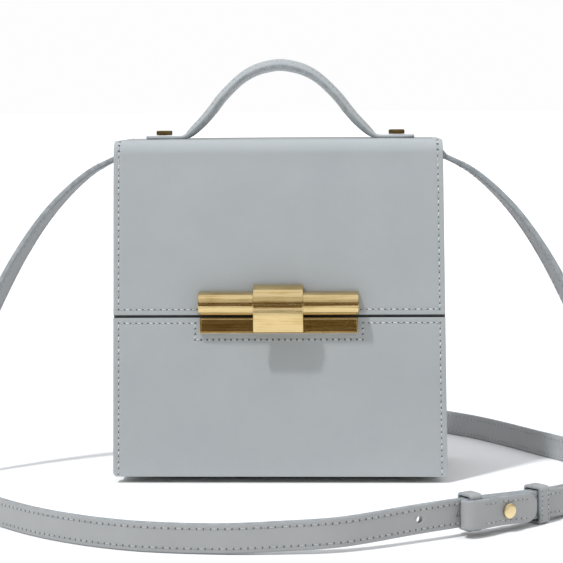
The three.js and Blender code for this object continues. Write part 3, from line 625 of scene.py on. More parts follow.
@dataclass
class Body:
    """The box: two walls, a facing, a gusset, and a flap over the top, in millimetres."""

    front: float = -1.95
    depth: float = 80.0
    base: float = 182.5
    crown: float = 178.3
    top: float = 187.0
    lift: float = 3.6
    skin: float = 2.4
    wall: float = 2.0
    gap: float = 0.3
    corner: float = 2.4
    seam: float = 91.4
    seam_gap: float = 1.0
    fold: float = 7.5
    cut: float = 1.4
    lap: float = 28.0
    inset: float = 3.0
    side_inset: float = 10.5
    foot_side_inset: float = 1.8
    base_inset: float = 0.7
    bend: float = 2.4
    flange: float = 1.6
    flange_bend: float = 2.0
    bow: float = 0.9
    swell: float = 0.35
    slump: float = 0.75
    rim_drop: float = 4.5
    wall_drop: float = 7.5
    notch: float = 46.0
    notch_drop: float = 12.0
    foot_spacing: float = 138.0
    foot_inset: float = 22.5

    @property
    def back(self) -> float:
        """Return the back face's place."""
        return self.front + self.depth

    @property
    def middle(self) -> float:
        """Return the middle of the depth."""
        return self.front + self.depth / 2

    def flare(self, across: float, height: float) -> float:
        """Return a place across, narrowed as the body is at a height."""
        half = mix(self.base, self.crown, (height - self.lift) / (self.top - self.lift)) / 2
        return across * half / (self.base / 2)

    def inset_at(self, height: float) -> float:
        """Return how far the side lies in from the panels' edge, which grows towards the top."""
        low = self.lift + self.base_inset + self.bend
        share = max(0.0, (height - low) / (self.top - 3.5 - low))
        return mix(self.foot_side_inset, self.side_inset, share)

    def across(self) -> list[float]:
        """List columns over the width, close together by the edges and the seams."""
        half = self.base / 2
        near = [0, 0.5, 1.1, 1.8, 2.4, 2.8, 3.2, 3.6, 4.2, 5.2, 7.0, 10.0, 14.0]
        middle = spaced(-half + 20, half - 20, 6.0)
        return [-half + d for d in near] + middle + [half - d for d in reversed(near)]

    def pressed(self, edge: float) -> float:
        """Return how deep leather is pressed at a distance from its edge: at the edge and at the seam."""
        return 0.22 * math.exp(-edge / 1.3) + 0.2 * math.exp(-((edge - self.inset) / 0.75) ** 2)

    def panel(self, low: float, high: float, face: float, outward: float, sewn_top: bool) -> Skin:
        """Draw an upright panel with rounded lower corners.

        Args:
            low: Its lower edge.
            high: Its upper edge.
            face: Its outer face's place.
            outward: -1 where it faces the front, 1 where it faces the back.
            sewn_top: Whether its upper edge is pressed too.

        Returns:
            The panel's skin.
        """
        half = self.base / 2

        def place(column: float, row: float) -> Vector:
            x, z = column, row
            a, b = (abs(x) - half + self.corner) / self.corner, (low + self.corner - z) / self.corner
            if a > 0 and b > 0:
                x = math.copysign(half - self.corner + self.corner * a * math.sqrt(max(0, 1 - b * b / 2)), x)
                z = low + self.corner - self.corner * b * math.sqrt(max(0, 1 - a * a / 2))
            deep = self.pressed(half - abs(column))
            if sewn_top:
                deep = max(deep, self.pressed(high - row))
            return Vector((self.flare(x, z), face - outward * deep, z))

        near = [0, 0.5, 1.1, 1.8, 2.6, 3.5, 5.0, 8.0]
        rows = [low + d for d in near] + spaced(low + 13, high - 13, 6.0)
        rows += [high - d for d in (10.0, 7.0, 5.2, 4.2, 3.6, 3.2, 2.8, 2.4, 1.8, 1.1, 0.5, 0)]
        columns = self.across()
        return Skin(columns if outward < 0 else columns[::-1], rows, place)

    def flap_skin(self) -> Skin:
        """Draw the flap from its lower front edge, over the top, to its lap on the back."""
        front_run = self.top - self.fold - self.seam - self.cut / 2
        turn = math.pi / 2 * self.fold
        top_run = self.depth - 2 * self.fold
        back_run = self.lap - self.fold
        half = self.base / 2

        def line(row: float) -> tuple[Vector, Vector]:
            """Return the place and the outward direction at a length along the flap."""
            if row <= front_run:
                return Vector((0, self.front, self.seam + self.cut / 2 + row)), AHEAD
            row -= front_run
            if row <= turn:
                angle = row / self.fold
                out = Vector((0, -math.cos(angle), math.sin(angle)))
                return Vector((0, self.front + self.fold, self.top - self.fold)) + out * self.fold, out
            row -= turn
            if row <= top_run:
                return Vector((0, self.front + self.fold + row, self.top)), UP
            row -= top_run
            if row <= turn:
                angle = row / self.fold
                out = Vector((0, math.sin(angle), math.cos(angle)))
                return Vector((0, self.back - self.fold, self.top - self.fold)) + out * self.fold, out
            return Vector((0, self.back, self.top - self.fold - (row - turn))), -AHEAD

        total = front_run + 2 * turn + top_run + back_run

        def place(column: float, row: float) -> Vector:
            spot, out = line(row)
            deep = max(self.pressed(half - abs(column)), self.pressed(row), self.pressed(total - row))
            swell = self.swell * (1 - (column / half) ** 2)
            swell = swell * ease((row - front_run + 12) / 24) * ease((total - row) / 30)
            slump = self.slump * math.exp(-((row - front_run + 1) / 12) ** 2)
            spot = spot + out * (swell - deep) - AHEAD * slump
            return Vector((self.flare(column, spot.z), spot.y, spot.z))

        near = [0, 0.5, 1.1, 1.8, 2.4, 2.8, 3.2, 3.6, 4.2, 5.2, 7.0, 10.0]
        top_start, top_end = front_run + turn, front_run + turn + top_run
        rows = near + spaced(14, front_run - 2, 5.0)
        rows += spaced(front_run, top_start, 0.9)
        rows += spaced(top_start + 3, top_end - 3, 5.0)
        rows += spaced(top_end, front_run + 2 * turn + top_run, 0.9)
        rows += spaced(front_run + 2 * turn + top_run + 3, total - 12, 4.0)
        rows += [total - d for d in reversed(near[:-1])]
        return Skin(self.across(), rows, place)

    def gusset_skin(self) -> Skin:
        """Draw the strip round the sides and the base, with its edges turned out under the panels."""
        rim, half = self.top - self.rim_drop, self.base / 2
        low = self.lift + self.base_inset
        inner = half - self.foot_side_inset
        start = self.front + self.skin + self.wall + 2 * self.gap
        end = self.back - self.skin - self.wall - 2 * self.gap
        run, base_run = rim - low - self.bend, 2 * (inner - self.bend)
        turn = math.pi / 2 * self.bend
        total = 2 * run + 2 * turn + base_run

        def line(row: float) -> tuple[float, float, float, float, float]:
            """Return across, up, the outward direction and how far the flange stands out there."""
            if row > total / 2:
                x, z, ox, oz, out = line(total - row)
                return -x, z, -ox, oz, out
            if row <= run:
                inset = self.inset_at(rim - row)
                return -half + inset, rim - row, -1.0, 0.0, inset
            row -= run
            if row <= turn:
                angle = row / self.bend
                out = mix(self.foot_side_inset, self.base_inset, ease(angle / (math.pi / 2)))
                out -= 0.2 * math.sin(2 * angle)
                x, z = -math.cos(angle), -math.sin(angle)
                return -inner + self.bend + x * self.bend, low + self.bend + z * self.bend, x, z, out
            return -inner + self.bend + row - turn, low, 0.0, -1.0, self.base_inset

        bend, flange_run, reach = self.flange_bend, self.side_inset, end - start
        section = 2 * flange_run + end - start

        def place(column: float, row: float) -> Vector:
            x, z, ox, oz, flange = line(row)
            side = min(column, section - column)
            if side < flange_run:
                out, y = flange * (1 - side / flange_run), 0.0
            else:
                out, y = 0.0, side - flange_run
            if abs(side - flange_run) < bend:
                share = (side - flange_run + bend) / (2 * bend)
                y = bend * share * share
                out = flange * bend / flange_run * (1 - share) ** 2
            y = start + y if column < section / 2 else end - y
            bow = self.bow * math.sin(math.pi * (y - start) / reach)
            bow = bow * ease((150 - z) / 30) * ease((z - low) / 40)
            out -= bow * abs(ox)
            x, z = x + ox * out, z + oz * out
            return Vector((self.flare(x, z), y, z))

        far = flange_run + 9
        columns = [0, 2.5, 5, 7] + [flange_run + d / 2 for d in range(-4, 5)] + [flange_run + 5]
        columns += spaced(far, section - far, 6.0) + [section - c for c in reversed(columns)]
        rows = spaced(0, run, 5.0)
        for first, last, step in (
            (run, run + turn, 1.0), (run + turn, total - run - turn, 6.0),
            (total - run - turn, total - run, 1.0), (total - run, total, 5.0),
        ):
            rows += spaced(first, last, step)[1:]
        return Skin(columns, rows, place)

    def build(self) -> None:
        """Build the body's pieces and sew them."""
        low_edge = self.seam - self.cut / 2
        facing = self.panel(self.lift, low_edge, self.front, -1, True)
        flap = self.flap_skin()
        wall_top = self.top - self.wall_drop
        front_wall = self.panel(self.lift, wall_top, self.front + self.skin + self.gap, -1, False)
        back_panel = self.panel(self.lift, wall_top, self.back - self.skin - self.gap, 1, False)
        for name, skin, finish, node, thickness in (
            ("lower_front_panel", facing, CALF, "front_facing", self.skin),
            ("flap_skin", flap, CALF, "flap", self.skin),
            ("inner_front_wall", front_wall, LINING, "front_wall", self.wall),
            ("back_skin", back_panel, CALF, "back_panel", self.wall),
        ):
            thicken(outfit(name, skin.shell(), [finish, PAINT], (node,)), thickness)
        gusset = outfit("folded_gusset", self.gusset_skin().shell(), [CALF, PAINT], ("gusset",))
        thicken(gusset, self.flange, 0.35)
        self.sew(facing, flap, back_panel)
        self.build_feet()

    def sew(self, facing: Skin, flap: Skin, back_panel: Skin) -> None:
        """Sew the flap's edge, the lower panel round the clasp's plate, and the back."""
        half, low_edge, inset = self.base / 2, self.seam - self.cut / 2, self.inset
        seam = Seam()
        side, last = half - inset, flap.rows[-1] - inset
        for x in (-side, side):
            seam.sew(flap, (x, inset), (x, last))
        for row in (inset, last):
            seam.sew(flap, (-side, row), (side, row))
        high, drop = low_edge - inset, low_edge - self.notch_drop
        for x in (-side, side):
            seam.sew(facing, (x, self.lift + 1.2), (x, high))
        notch = [(-self.notch, high), (-self.notch, drop), (self.notch, drop), (self.notch, high)]
        path = [(-side, high), *notch, (side, high)]
        for start, end in zip(path, path[1:]):
            seam.sew(facing, start, end)
        for x in (-side, side):
            seam.sew(back_panel, (x, self.lift + inset), (x, self.top - self.lap - 1))
        outfit("body_stitching", seam.shell(), [THREAD, HOLE_SHADE])

    def build_feet(self) -> None:
        """Build the four turned feet."""
        for end, y in (("front", self.front + self.foot_inset), ("back", self.back - self.foot_inset)):
            for side in Side:
                shell = turned(FOOT_PROFILE, Vector((side.value * self.foot_spacing / 2, y, 0)), UP)
                name = f"{end}_{side.name.lower()}"
                outfit(f"turned_foot_{name}", shell, [SHADED_FOOT_BRASS], (f"foot_{name}",), crease=40)


@dataclass
class Handle:
    """The padded top handle on its two flat feet, with a stud in each, in millimetres."""

    body: Body
    span: float = 107.0
    rise: float = 40.2
    width: float = 15.0
    pad: float = 6.7
    foot_length: float = 21.5
    foot_thickness: float = 1.8
    stud_spacing: float = 130.4
    stud_radius: float = 4.5
    stud_height: float = 2.6
    rows: tuple[tuple[float, float, float], ...] = (
        (0.983, 0.017, 0.45), (0.938, 0.06, 0.66), (0.886, 0.124, 0.78), (0.811, 0.221, 0.85),
        (0.718, 0.361, 0.865), (0.624, 0.525, 0.865), (0.529, 0.662, 0.87), (0.434, 0.781, 0.88),
        (0.34, 0.871, 0.93), (0.236, 0.938, 0.97), (0.121, 0.98, 0.99), (0, 1, 1),
    )

    def line(self) -> "Route":
        """Return the centre line from the left foot's end to the right one's, with each place's thickness."""
        low = self.body.top + self.body.gap + self.foot_thickness / 2
        half = self.span / 2
        tip = half + self.foot_length
        flat = self.foot_thickness
        right = [(tip, low, flat), (tip - 4.5, low, flat), (half + 1.2, low + 0.05, flat * 1.05)]
        right += [(x * half, mix(low, low + self.rise, rise), pad * self.pad) for x, rise, pad in self.rows]
        right[3] = (right[3][0], self.body.top + self.body.gap + right[3][2] / 2, right[3][2])
        left = [(-x, z, t) for x, z, t in right[:-1]]
        rows = left + right[::-1]
        return Route([Vector((x, self.body.middle, z)) for x, z, _ in rows], [t for _, _, t in rows])

    def skin(self, route: "Route") -> Skin:
        """Draw the handle's skin: a padded pillow between two sewn edges."""
        side = [
            (0, -1), (0.2, -1), (0.45, -0.96), (0.66, -0.83), (0.8, -0.72), (0.93, -0.64), (0.985, -0.58),
            (1, -0.5), (1, -0.25), (1, 0.0), (0.985, 0.16), (0.93, 0.38), (0.8, 0.6), (0.66, 0.78),
            (0.45, 0.94), (0.2, 1), (0, 1),
        ]
        section = [(-x, y) for x, y in side[7:0:-1]] + side + [(-x, y) for x, y in side[15:6:-1]]

        def place(column: float, row: float) -> Vector:
            centre, along, thickness = route.at(row)
            face = Vector((0, 1, 0)).cross(along) * -1
            face = face if face.z > 0 else -face
            across, through = between(section, column)
            flat = ease((thickness - 2.2) / 2.4)
            thick = thickness / 2 * (mix(math.copysign(min(1, abs(through) * 1.9), through), through, flat))
            left = min(row, route.length - row)
            narrow = 1 if left > 5 else math.sqrt(max(0.0, 1 - ((5 - left) / 5) ** 2)) * 0.45 + 0.55
            return centre + Vector((0, -1, 0)) * (across * (self.width / 2 * narrow)) + face * thick

        ends = [0, 0.4, 1, 2, 3.5, 5]
        rows = ends + spaced(7, route.length - 7, 2.0) + [route.length - d for d in reversed(ends)]
        edge = {14, 15, 30, 31}
        columns = [float(i) for i in range(len(section))]
        return Skin(columns, rows, place, lambda column, row: 1 if int(column) in edge else 0, True)

    def build(self) -> None:
        """Build the handle, its two studs and its sewing."""
        route = self.line()
        skin = self.skin(route)
        grip = outfit("padded_handle", skin.shell(), [CALF, PAINT], ("handle",))
        base = self.body.top + 2 * self.body.gap + self.foot_thickness
        r, h = self.stud_radius, self.stud_height
        profile = [(0, 0), (r - 0.2, 0), (r, 0.2), (r, h - 0.55), (r - 0.15, h - 0.25), (r - 0.5, h), (0, h)]
        for side in Side:
            name = side.name.lower()
            stud = turned(profile, Vector((side.value * self.stud_spacing / 2, self.body.middle, base)), UP)
            node = f"handle_stud_{name}"
            outfit(f"turned_stud_{name}", stud, [STUD_BRASS], (node,), crease=40)
        seam = Seam(pitch=3.0, length=2.3, width=0.5, height=0.2, hole=0.0)
        mid = route.length / 2
        for column in (19.3, 26.7):
            for far in (24, route.length - 24):
                seam.sew(skin, (column, mid), (column, far), skin.outward(column, mid))
        outfit("handle_stitching", seam.shell(), [STRAP_THREAD, HOLE_SHADE])


class Route:
    """A smooth line through points, read by the length along it, with a value carried at each point."""

    def __init__(self, points: list[Vector], values: list[float]) -> None:
        """Measure the line.

        Args:
            points: The points that it passes.
            values: The value at each point.
        """
        self.points, self.values = points, values
        self.spots: list[tuple[float, Vector, float]] = []
        length, before = 0.0, points[0]
        for i in range(len(points) - 1):
            for j in range(24):
                spot = self.curve(i, j / 24)
                length += (spot - before).length
                self.spots.append((length, spot, mix(values[i], values[i + 1], j / 24)))
                before = spot
        length += (points[-1] - before).length
        self.spots.append((length, points[-1], values[-1]))
        self.length = length

    def curve(self, i: int, t: float) -> Vector:
        """Return a point of the centripetal curve between two of its points."""
        p, last = self.points, len(self.points) - 1
        p0 = p[i - 1] if i > 0 else p[0] * 2 - p[1]
        p3 = p[i + 2] if i + 2 <= last else p[last] * 2 - p[last - 1]
        p1, p2 = p[i], p[i + 1]
        d0, d1, d2 = (math.sqrt((b - a).length) for a, b in ((p0, p1), (p1, p2), (p2, p3)))
        m1 = ((p1 - p0) / d0 - (p2 - p0) / (d0 + d1) + (p2 - p1) / d1) * d1
        m2 = ((p2 - p1) / d1 - (p3 - p1) / (d1 + d2) + (p3 - p2) / d2) * d1
        return p1 + m1 * t + (p2 * 3 - p1 * 3 - m1 * 2 - m2) * t ** 2 + (p1 * 2 - p2 * 2 + m1 + m2) * t ** 3

    def at(self, length: float) -> tuple[Vector, Vector, float]:
        """Return the place, the direction and the value at a length."""
        length = min(max(length, 0.0), self.length)
        low, high = 0, len(self.spots) - 1
        while high - low > 1:
            half = (low + high) // 2
            low, high = (half, high) if self.spots[half][0] <= length else (low, half)
        a, b = self.spots[low], self.spots[high]
        share = (length - a[0]) / max(b[0] - a[0], 1e-9)
        before, after = self.spots[max(low - 1, 0)][1], self.spots[min(high + 1, len(self.spots) - 1)][1]
        return a[1].lerp(b[1], share), (after - before).normalized(), mix(a[2], b[2], share)


@dataclass
class Clasp:
    """The gold bar on the flap, its plate below, and the wrap that catches them, in millimetres."""

    body: Body
    length: float = 86.7
    radius: float = 6.35
    standoff: float = 2.4
    rise: float = 6.9
    wrap_width: float = 27.1
    wrap_wall: float = 3.65
    drop: float = 14.9
    tongue: float = 2.6
    hinge_radius: float = 1.6
    hinge_standoff: float = 1.95
    plate_height: float = 7.9
    plate_thickness: float = 1.5
    plate_rim: float = 1.4
    rim_rise: float = 0.8
    plate_drop: float = 0.5
    tilt: float = 11.0

    def build(self) -> None:
        """Build the bar, the plate and the wrap."""
        body, gap = self.body, self.body.gap
        bar_z = body.seam + body.seam_gap / 2 + self.rise
        out = gap + self.standoff
        outline = [(gap, bar_z - self.radius), *arc(out, bar_z, self.radius, -90, 90, 40)]
        bar = extruded([*outline, (gap, bar_z + self.radius)], self.length, body.front, 0.45)
        outfit("half_round_bar", bar, [GOLD], ("clasp_bar",), crease=35)
        self.build_wrap(bar_z, out)
        self.build_plate()

    def build_wrap(self, bar_z: float, out: float) -> None:
        """Build the wrap: a round hood, a barrel at its top edge and a tongue that leans back."""
        body = self.body
        inner, outer = self.radius + body.gap, self.radius + body.gap + self.wrap_wall
        hinge_z = bar_z + outer - self.hinge_radius - 0.1
        low = bar_z - self.drop
        turn = math.radians(self.tilt)
        foot = out + outer * math.cos(turn) - (self.drop - outer * math.sin(turn)) * math.tan(turn)
        outline = [(self.hinge_standoff - 0.2, hinge_z - 1.2), *arc(out, bar_z, inner, 90, -self.tilt, 30)]
        outline += [(foot - self.tongue, low + 0.25), (foot - self.tongue + 0.25, low)]
        outline += [(foot - 0.35, low), (foot, low + 0.35), *arc(out, bar_z, outer, -self.tilt, 90, 36)]
        outline += arc(self.hinge_standoff, hinge_z, self.hinge_radius, 100, 200, 8)
        wrap = extruded(outline, self.wrap_width, body.front, 0.5)
        outfit("clasp_wrap", wrap, [GOLD], ("clasp_latch",), body="latch", crease=35)
        lug_low, lug_high, reach = low + 0.6, low + 0.6 + 4.6, foot - self.tongue + 0.4
        outline = [(2.9, lug_low + 0.3), (3.2, lug_low), (reach, lug_low), (reach, lug_high), (2.9, lug_high)]
        lug = extruded(outline, 16.0, body.front, 0.3)
        outfit("catch_lug", lug, [GOLD], body="latch", crease=35)

    def build_plate(self) -> None:
        """Build the plate: a raised rim round a sunk field that leans back at its top."""
        body = self.body
        high = body.seam - body.seam_gap / 2 - 0.05
        half, low = (self.length - 1) / 2, high - self.plate_height - self.plate_drop
        shell = bmesh.new()
        bmesh.ops.create_cube(shell, size=1)
        thick = self.plate_thickness + self.rim_rise
        bmesh.ops.scale(shell, vec=(2 * half, thick, high - low), verts=shell.verts[:])
        centre = (0, body.front - body.gap - thick / 2, (high + low) / 2)
        bmesh.ops.translate(shell, vec=centre, verts=shell.verts[:])
        face = min(shell.faces, key=lambda f: f.calc_center_median().y)
        bmesh.ops.inset_region(shell, faces=[face], thickness=self.plate_rim - 0.25, depth=0)
        bmesh.ops.inset_region(shell, faces=[face], thickness=0.25, depth=-self.rim_rise)
        field_z = sum(v.co.z for v in face.verts) / 4
        for vert in face.verts:
            vert.co.y += (0.45 if vert.co.z > field_z else -0.25)
        outer = [e for e in shell.edges if len(e.link_faces) == 2 and face not in e.link_faces]
        bevel(shell, [e for e in outer if e.calc_face_angle() > 0.9], 0.22)
        outfit("framed_plate", shell, [GOLD], ("clasp_plate",), crease=35)


@dataclass
class Strap:
    """The shoulder strap: its two halves, their rings and tabs, and its buckle, in millimetres."""

    body: Body
    width: float = 14.0
    thickness: float = 3.0
    floor_gap: float = 0.1
    reach: float = 190.5
    front_loop: float = 160.6
    back_loop: float = 166.0
    lift: float = 4.6
    ring_drop: float = 9.0
    wire: float = 1.0
    tab_thickness: float = 1.6
    tab_height: float = 26.0
    tab_wall: float = 1.3
    loop_wall: float = 1.6
    keeper_wall: float = 1.3
    keeper_width: float = 7.0
    keeper_corner: float = 2.2
    keeper_slack: float = 1.7
    headroom: float = 0.5
    stud_radius: float = 3.65
    stud_head: float = 1.5
    hole_radius: float = 1.7
    hole_pitch: float = 24.0
    rivet_across: float = 0.574
    keeper_end: float = 18.0
    fold: float = 25.0
    tip: float = 19.0
    keeper_slide: float = 26.0
    tip_radius: float = 5.5
    arc_rows: tuple[tuple[float, float, float, float], ...] = (
        (0.065, 0, 0.018, 0), (0.165, 0, 0.05, 0.06), (0.285, 0, 0.108, 0.15), (0.42, 0.03, 0.195, 0.26),
        (0.555, 0.1, 0.312, 0.38), (0.68, 0.2, 0.45, 0.5), (0.8, 0.37, 0.61, 0.64), (0.905, 0.6, 0.765, 0.78),
        (0.975, 0.89, 0.895, 0.9), (1, 1.25, 0.967, 0.97),
    )
    long_rows: tuple[tuple[float, float, float], ...] = (
        (-0.982, 0.165, 0.16), (-0.94, 0.265, 0), (-0.872, 0.39, 0), (-0.785, 0.53, 0), (-0.688, 0.666, 0),
        (-0.6, 0.77, 0), (-0.512, 0.85, 0), (-0.408, 0.92, 0), (-0.3, 0.967, 0), (-0.113, 0.998, 0.05),
        (0.04, 0.996, 0.3), (0.174, 0.974, 0.52), (0.368, 0.853, 0.9), (0.509, 0.74, 0.9),
        (0.63, 0.627, 0.62),
        (0.729, 0.52, 0.36), (0.79, 0.433, 0.2), (0.843, 0.333, 0.08), (0.885, 0.218, 0), (0.912, 0.087, 0),
        (0.923, -0.045, 0), (0.917, -0.17, 0), (0.893, -0.28, 0), (0.85, -0.383, 0), (0.785, -0.509, 0),
        (0.675, -0.73, 0), (0.596, -0.864, 0),
    )
    short_rows: tuple[tuple[float, float, float], ...] = (
        (0.982, 0.15, 0.2), (0.937, 0.245, 0.05), (0.877, 0.345, 0.08),
    )

    def __post_init__(self) -> None:
        """Work out where the rings lie and how the two halves run."""
        body = self.body
        self.ring_z = body.top - self.ring_drop
        foot = self.ring_z - self.tab_height
        self.gusset_x = body.flare(body.base / 2 - body.inset_at(foot), foot)
        tab_loop = self.wire + body.gap + self.tab_wall
        self.strap_loop = self.wire + body.gap + self.loop_wall
        self.inner_x = self.gusset_x + body.gap + tab_loop
        self.outer_x = self.inner_x + tab_loop + body.gap + self.strap_loop
        self.ring_half = self.width / 2 + body.gap + self.wire
        self.stand_z = self.floor_gap + self.width / 2
        end = Vector((0.47 * self.reach, body.front + self.back_loop - self.thickness / 3, self.stand_z))
        points, stands = self.arc_points(-1)
        floor = self.floor_points(self.long_rows)
        self.long = Route([*points, *floor, end], [*stands, *[1.0] * (len(floor) + 1)])
        self.rivet = self.length_across(self.rivet_across * self.reach)
        self.main = self.thickness + body.gap
        self.tip_offset = 2 * self.main
        self.fold_offset = self.main + self.thickness + self.keeper_wall + 2 * body.gap
        points, stands = self.arc_points(1)
        rest = [*self.floor_points(self.short_rows), *self.buckle_points()]
        self.short = Route([*points, *rest], [*stands, *[1.0] * len(rest)])

    def arc_points(self, side: int) -> tuple[list[Vector], list[float]]:
        """Return a half's points from its ring to the floor, and how far it stands on edge at each."""
        body = self.body
        points, stands = [Vector((side * self.outer_x, body.middle, self.ring_z))], [0.0]
        for out, ahead, drop, stand in self.arc_rows:
            points.append(Vector((
                side * mix(self.outer_x, self.reach, out),
                mix(body.middle, body.front, ahead),
                mix(self.ring_z, self.stand_z, drop),
            )))
            stands.append(float(stand))
        return points, stands

    def floor_points(self, rows: tuple[tuple[float, float, float], ...]) -> list[Vector]:
        """Return the points of a run on the floor."""
        front, rise = self.body.front, self.lift
        return [
            Vector((across * self.reach, front - ahead * self.front_loop, self.stand_z + lift * rise))
            for across, ahead, lift in rows
        ]

    def length_across(self, x: float) -> float:
        """Return the length along the long half where its front run passes a place across."""
        best = here = self.long.length / 2
        while here < self.long.length:
            spot, along, _ = self.long.at(here)
            if along.x < 0:
                break
            if abs(spot.x - x) < abs(self.long.at(best)[0].x - x):
                best = here
            here += 0.5
        return best

    def beside(self, past: float, out: float) -> Vector:
        """Return a place past the stud along the long half, and out from its centre."""
        spot, along, _ = self.long.at(self.rivet + past)
        return spot + along.cross(UP).normalized() * out

    def buckle_points(self) -> list[Vector]:
        """Return the short half's points beside the long one, round the end keeper and back over the stud."""
        bend = (self.fold_offset - self.main) / 2
        fold, half_tip = self.fold - bend, self.tip / 2
        rows = [
            (self.keeper_slide + 22, self.main + 0.6), (self.keeper_slide + 9.9, self.main),
            (self.tip, self.main), (half_tip, self.main), (0, self.main), (-self.keeper_end / 2, self.main),
            (-fold, self.main), (-self.fold + bend * 0.3, self.main + bend * 0.3),
            (-self.fold, self.main + bend), (-self.fold + bend * 0.3, self.fold_offset - bend * 0.3),
            (-fold, self.fold_offset),
            (-self.keeper_end + self.keeper_width / 2 + self.body.gap, self.fold_offset),
            (-self.keeper_end * 0.44, mix(self.fold_offset, self.tip_offset, 0.75)),
            (-self.stud_radius, self.tip_offset), (half_tip, self.tip_offset), (self.tip, self.tip_offset),
        ]
        return [self.beside(past, out) for past, out in rows]

    def skin(self, route: Route, side: int) -> Skin:
        """Draw a half: a band with rounded edges that twists from lying flat to standing on edge.

        Args:
            route: The half's centre line, with how far it stands at each place.
            side: -1 for the left half and 1 for the right one, whose other face is the outer one.

        Returns:
            The half's skin, a tube with a round loop at the ring and a rounded far end.
        """
        section = [
            (-0.86, -1), (-0.62, -1.0), (-0.3, -1), (0.3, -1), (0.62, -1.0), (0.86, -1), (0.94, -0.93),
            (0.985, -0.72), (1, -0.4), (1, 0.4), (0.985, 0.72), (0.94, 0.93), (0.86, 1), (0.62, 1.0),
            (0.3, 1), (-0.3, 1), (-0.62, 1.0), (-0.86, 1), (-0.94, 0.93), (-0.985, 0.72), (-1, 0.4), (-1, -0.4),
            (-0.985, -0.72), (-0.94, -0.93), (-0.86, -1),
        ]
        loop = self.strap_loop

        def place(column: float, row: float) -> Vector:
            centre, along, stand = route.at(row)
            if row < 0:
                centre = centre + along * row
            wide = AHEAD * (1 - stand) + UP * stand
            wide = (wide - along * wide.dot(along)).normalized()
            face = along.cross(wide)
            if row < 0:
                half = math.sqrt(max(loop * loop - row * row, 0.0))
            else:
                half = mix(loop, self.thickness / 2, ease(row / 3.4))
            spread = self.width / 2
            left = route.length - row
            if left < self.tip_radius:
                run = self.tip_radius - left
                spread += math.sqrt(max(self.tip_radius ** 2 - run ** 2, 0.0)) - self.tip_radius
            across, through = between(section, column)
            return centre + wide * (across * spread) + face * (through * half)

        rows = [-loop * share for share in (1, 0.97, 0.87, 0.7, 0.5, 0.25)] + [0, 1.5, 3, 5, 7, 9]
        rows += spaced(11, route.length - self.tip_radius - 1, 2.2)
        tip = (1, 0.8, 0.6, 0.42, 0.28, 0.16, 0.08, 0.03, 0)
        rows += [route.length - self.tip_radius * share for share in tip]
        edge = set(range(6, 11)) | set(range(18, 23))

        def finish(column: float, row: float) -> int:
            if int(column) in edge:
                return 1
            first = int(column) < 6 or int(column) > 22
            # The back face gets the rough back leather, lightened as painted fill light
            return 2 if first == (side < 0) and (side < 0 or row < route.length - 45) else 0

        return Skin([float(i) for i in range(len(section))], rows, place, finish, True)

    def build(self) -> None:
        """Build the halves, their sewing, the tabs and rings, the keepers and the stud."""
        for name, route, side in (("left", self.long, -1), ("right", self.short, 1)):
            self.build_half(name, route, self.skin(route, side), side)
            LOG.info("strap half %s: %.0f mm long", name, route.length)
            self.build_root(name, side)
        body = self.body
        back, front = -self.thickness / 2 - self.keeper_slack, self.main + self.thickness / 2
        low = self.beside(-self.keeper_end, 0).z - self.width / 2 - self.headroom
        high = self.stand_z + self.lift + self.width / 2 + self.headroom
        self.build_keeper("end", -self.keeper_end, back, front + body.gap, low, high)
        high = self.beside(self.keeper_slide, 0).z + self.width / 2 + 2 * self.headroom
        foot = self.floor_gap + self.keeper_wall
        self.build_keeper("slide", self.keeper_slide, back, front + self.keeper_slack / 2, foot, high)
        self.build_stud()

    def build_half(self, name: str, route: Route, skin: Skin, side: int) -> None:
        """Build one half with its sewing, and punch holes in the long half."""
        finishes, slot = [STRAP_CALF, PAINT, STRAP_BACK_PAINTED_FILL], "strap_leather"
        half = outfit(f"sewn_strap_{name}", skin.shell(), finishes, (f"strap_{name}",))
        end = route.length - 7
        turn = route.length if side < 0 else route.length - self.fold - self.tip - 5
        for face, columns, hole, height in (
            ("front", (12.85, 16.15), 0.4, 0.26), ("back", (0.85, 4.15), 0.24, 0.2),
        ):
            seam = Seam(pitch=3.3, length=2.4, width=0.58, height=height, hole=hole if side < 0 else 0.32)
            for column in columns:
                out = skin.outward(column, 60.0)
                seam.sew(skin, (column, 12.0), (column, min(end, turn)), out)
                if side > 0:
                    seam.sew(skin, (column, turn + 14), (column, end), out)
            outfit(f"strap_stitching_{name}_{face}", seam.shell(), [STRAP_THREAD, HOLE_SHADE])
        if side < 0:
            self.punch(half)

    def punch(self, half: Object) -> None:
        """Punch the long half's five holes."""
        drill = bmesh.new()
        for i in range(-2, 3):
            past = i * self.hole_pitch
            start, end = self.beside(past, -self.thickness), self.beside(past, self.thickness)
            turn = UP.rotation_difference((end - start).normalized()).to_matrix().to_4x4()
            bmesh.ops.create_cone(
                drill, cap_ends=True, segments=24, radius1=self.hole_radius, radius2=self.hole_radius,
                depth=(end - start).length, matrix=Matrix.Translation((start + end) / 2) @ turn,
            )
        bmesh.ops.scale(drill, vec=(MM, MM, MM), verts=drill.verts[:])
        tool = in_scene("punch", as_mesh("punch", drill, PAINT.material()))
        cut = half.modifiers.new("holes", "BOOLEAN")
        cut.operation = "DIFFERENCE"
        cut.object = tool
        cut.solver = "EXACT"
        bpy.context.view_layer.update()
        done = bpy.data.meshes.new_from_object(half.evaluated_get(bpy.context.evaluated_depsgraph_get()))
        half.modifiers.clear()
        half.data = done
        bpy.data.objects.remove(tool)

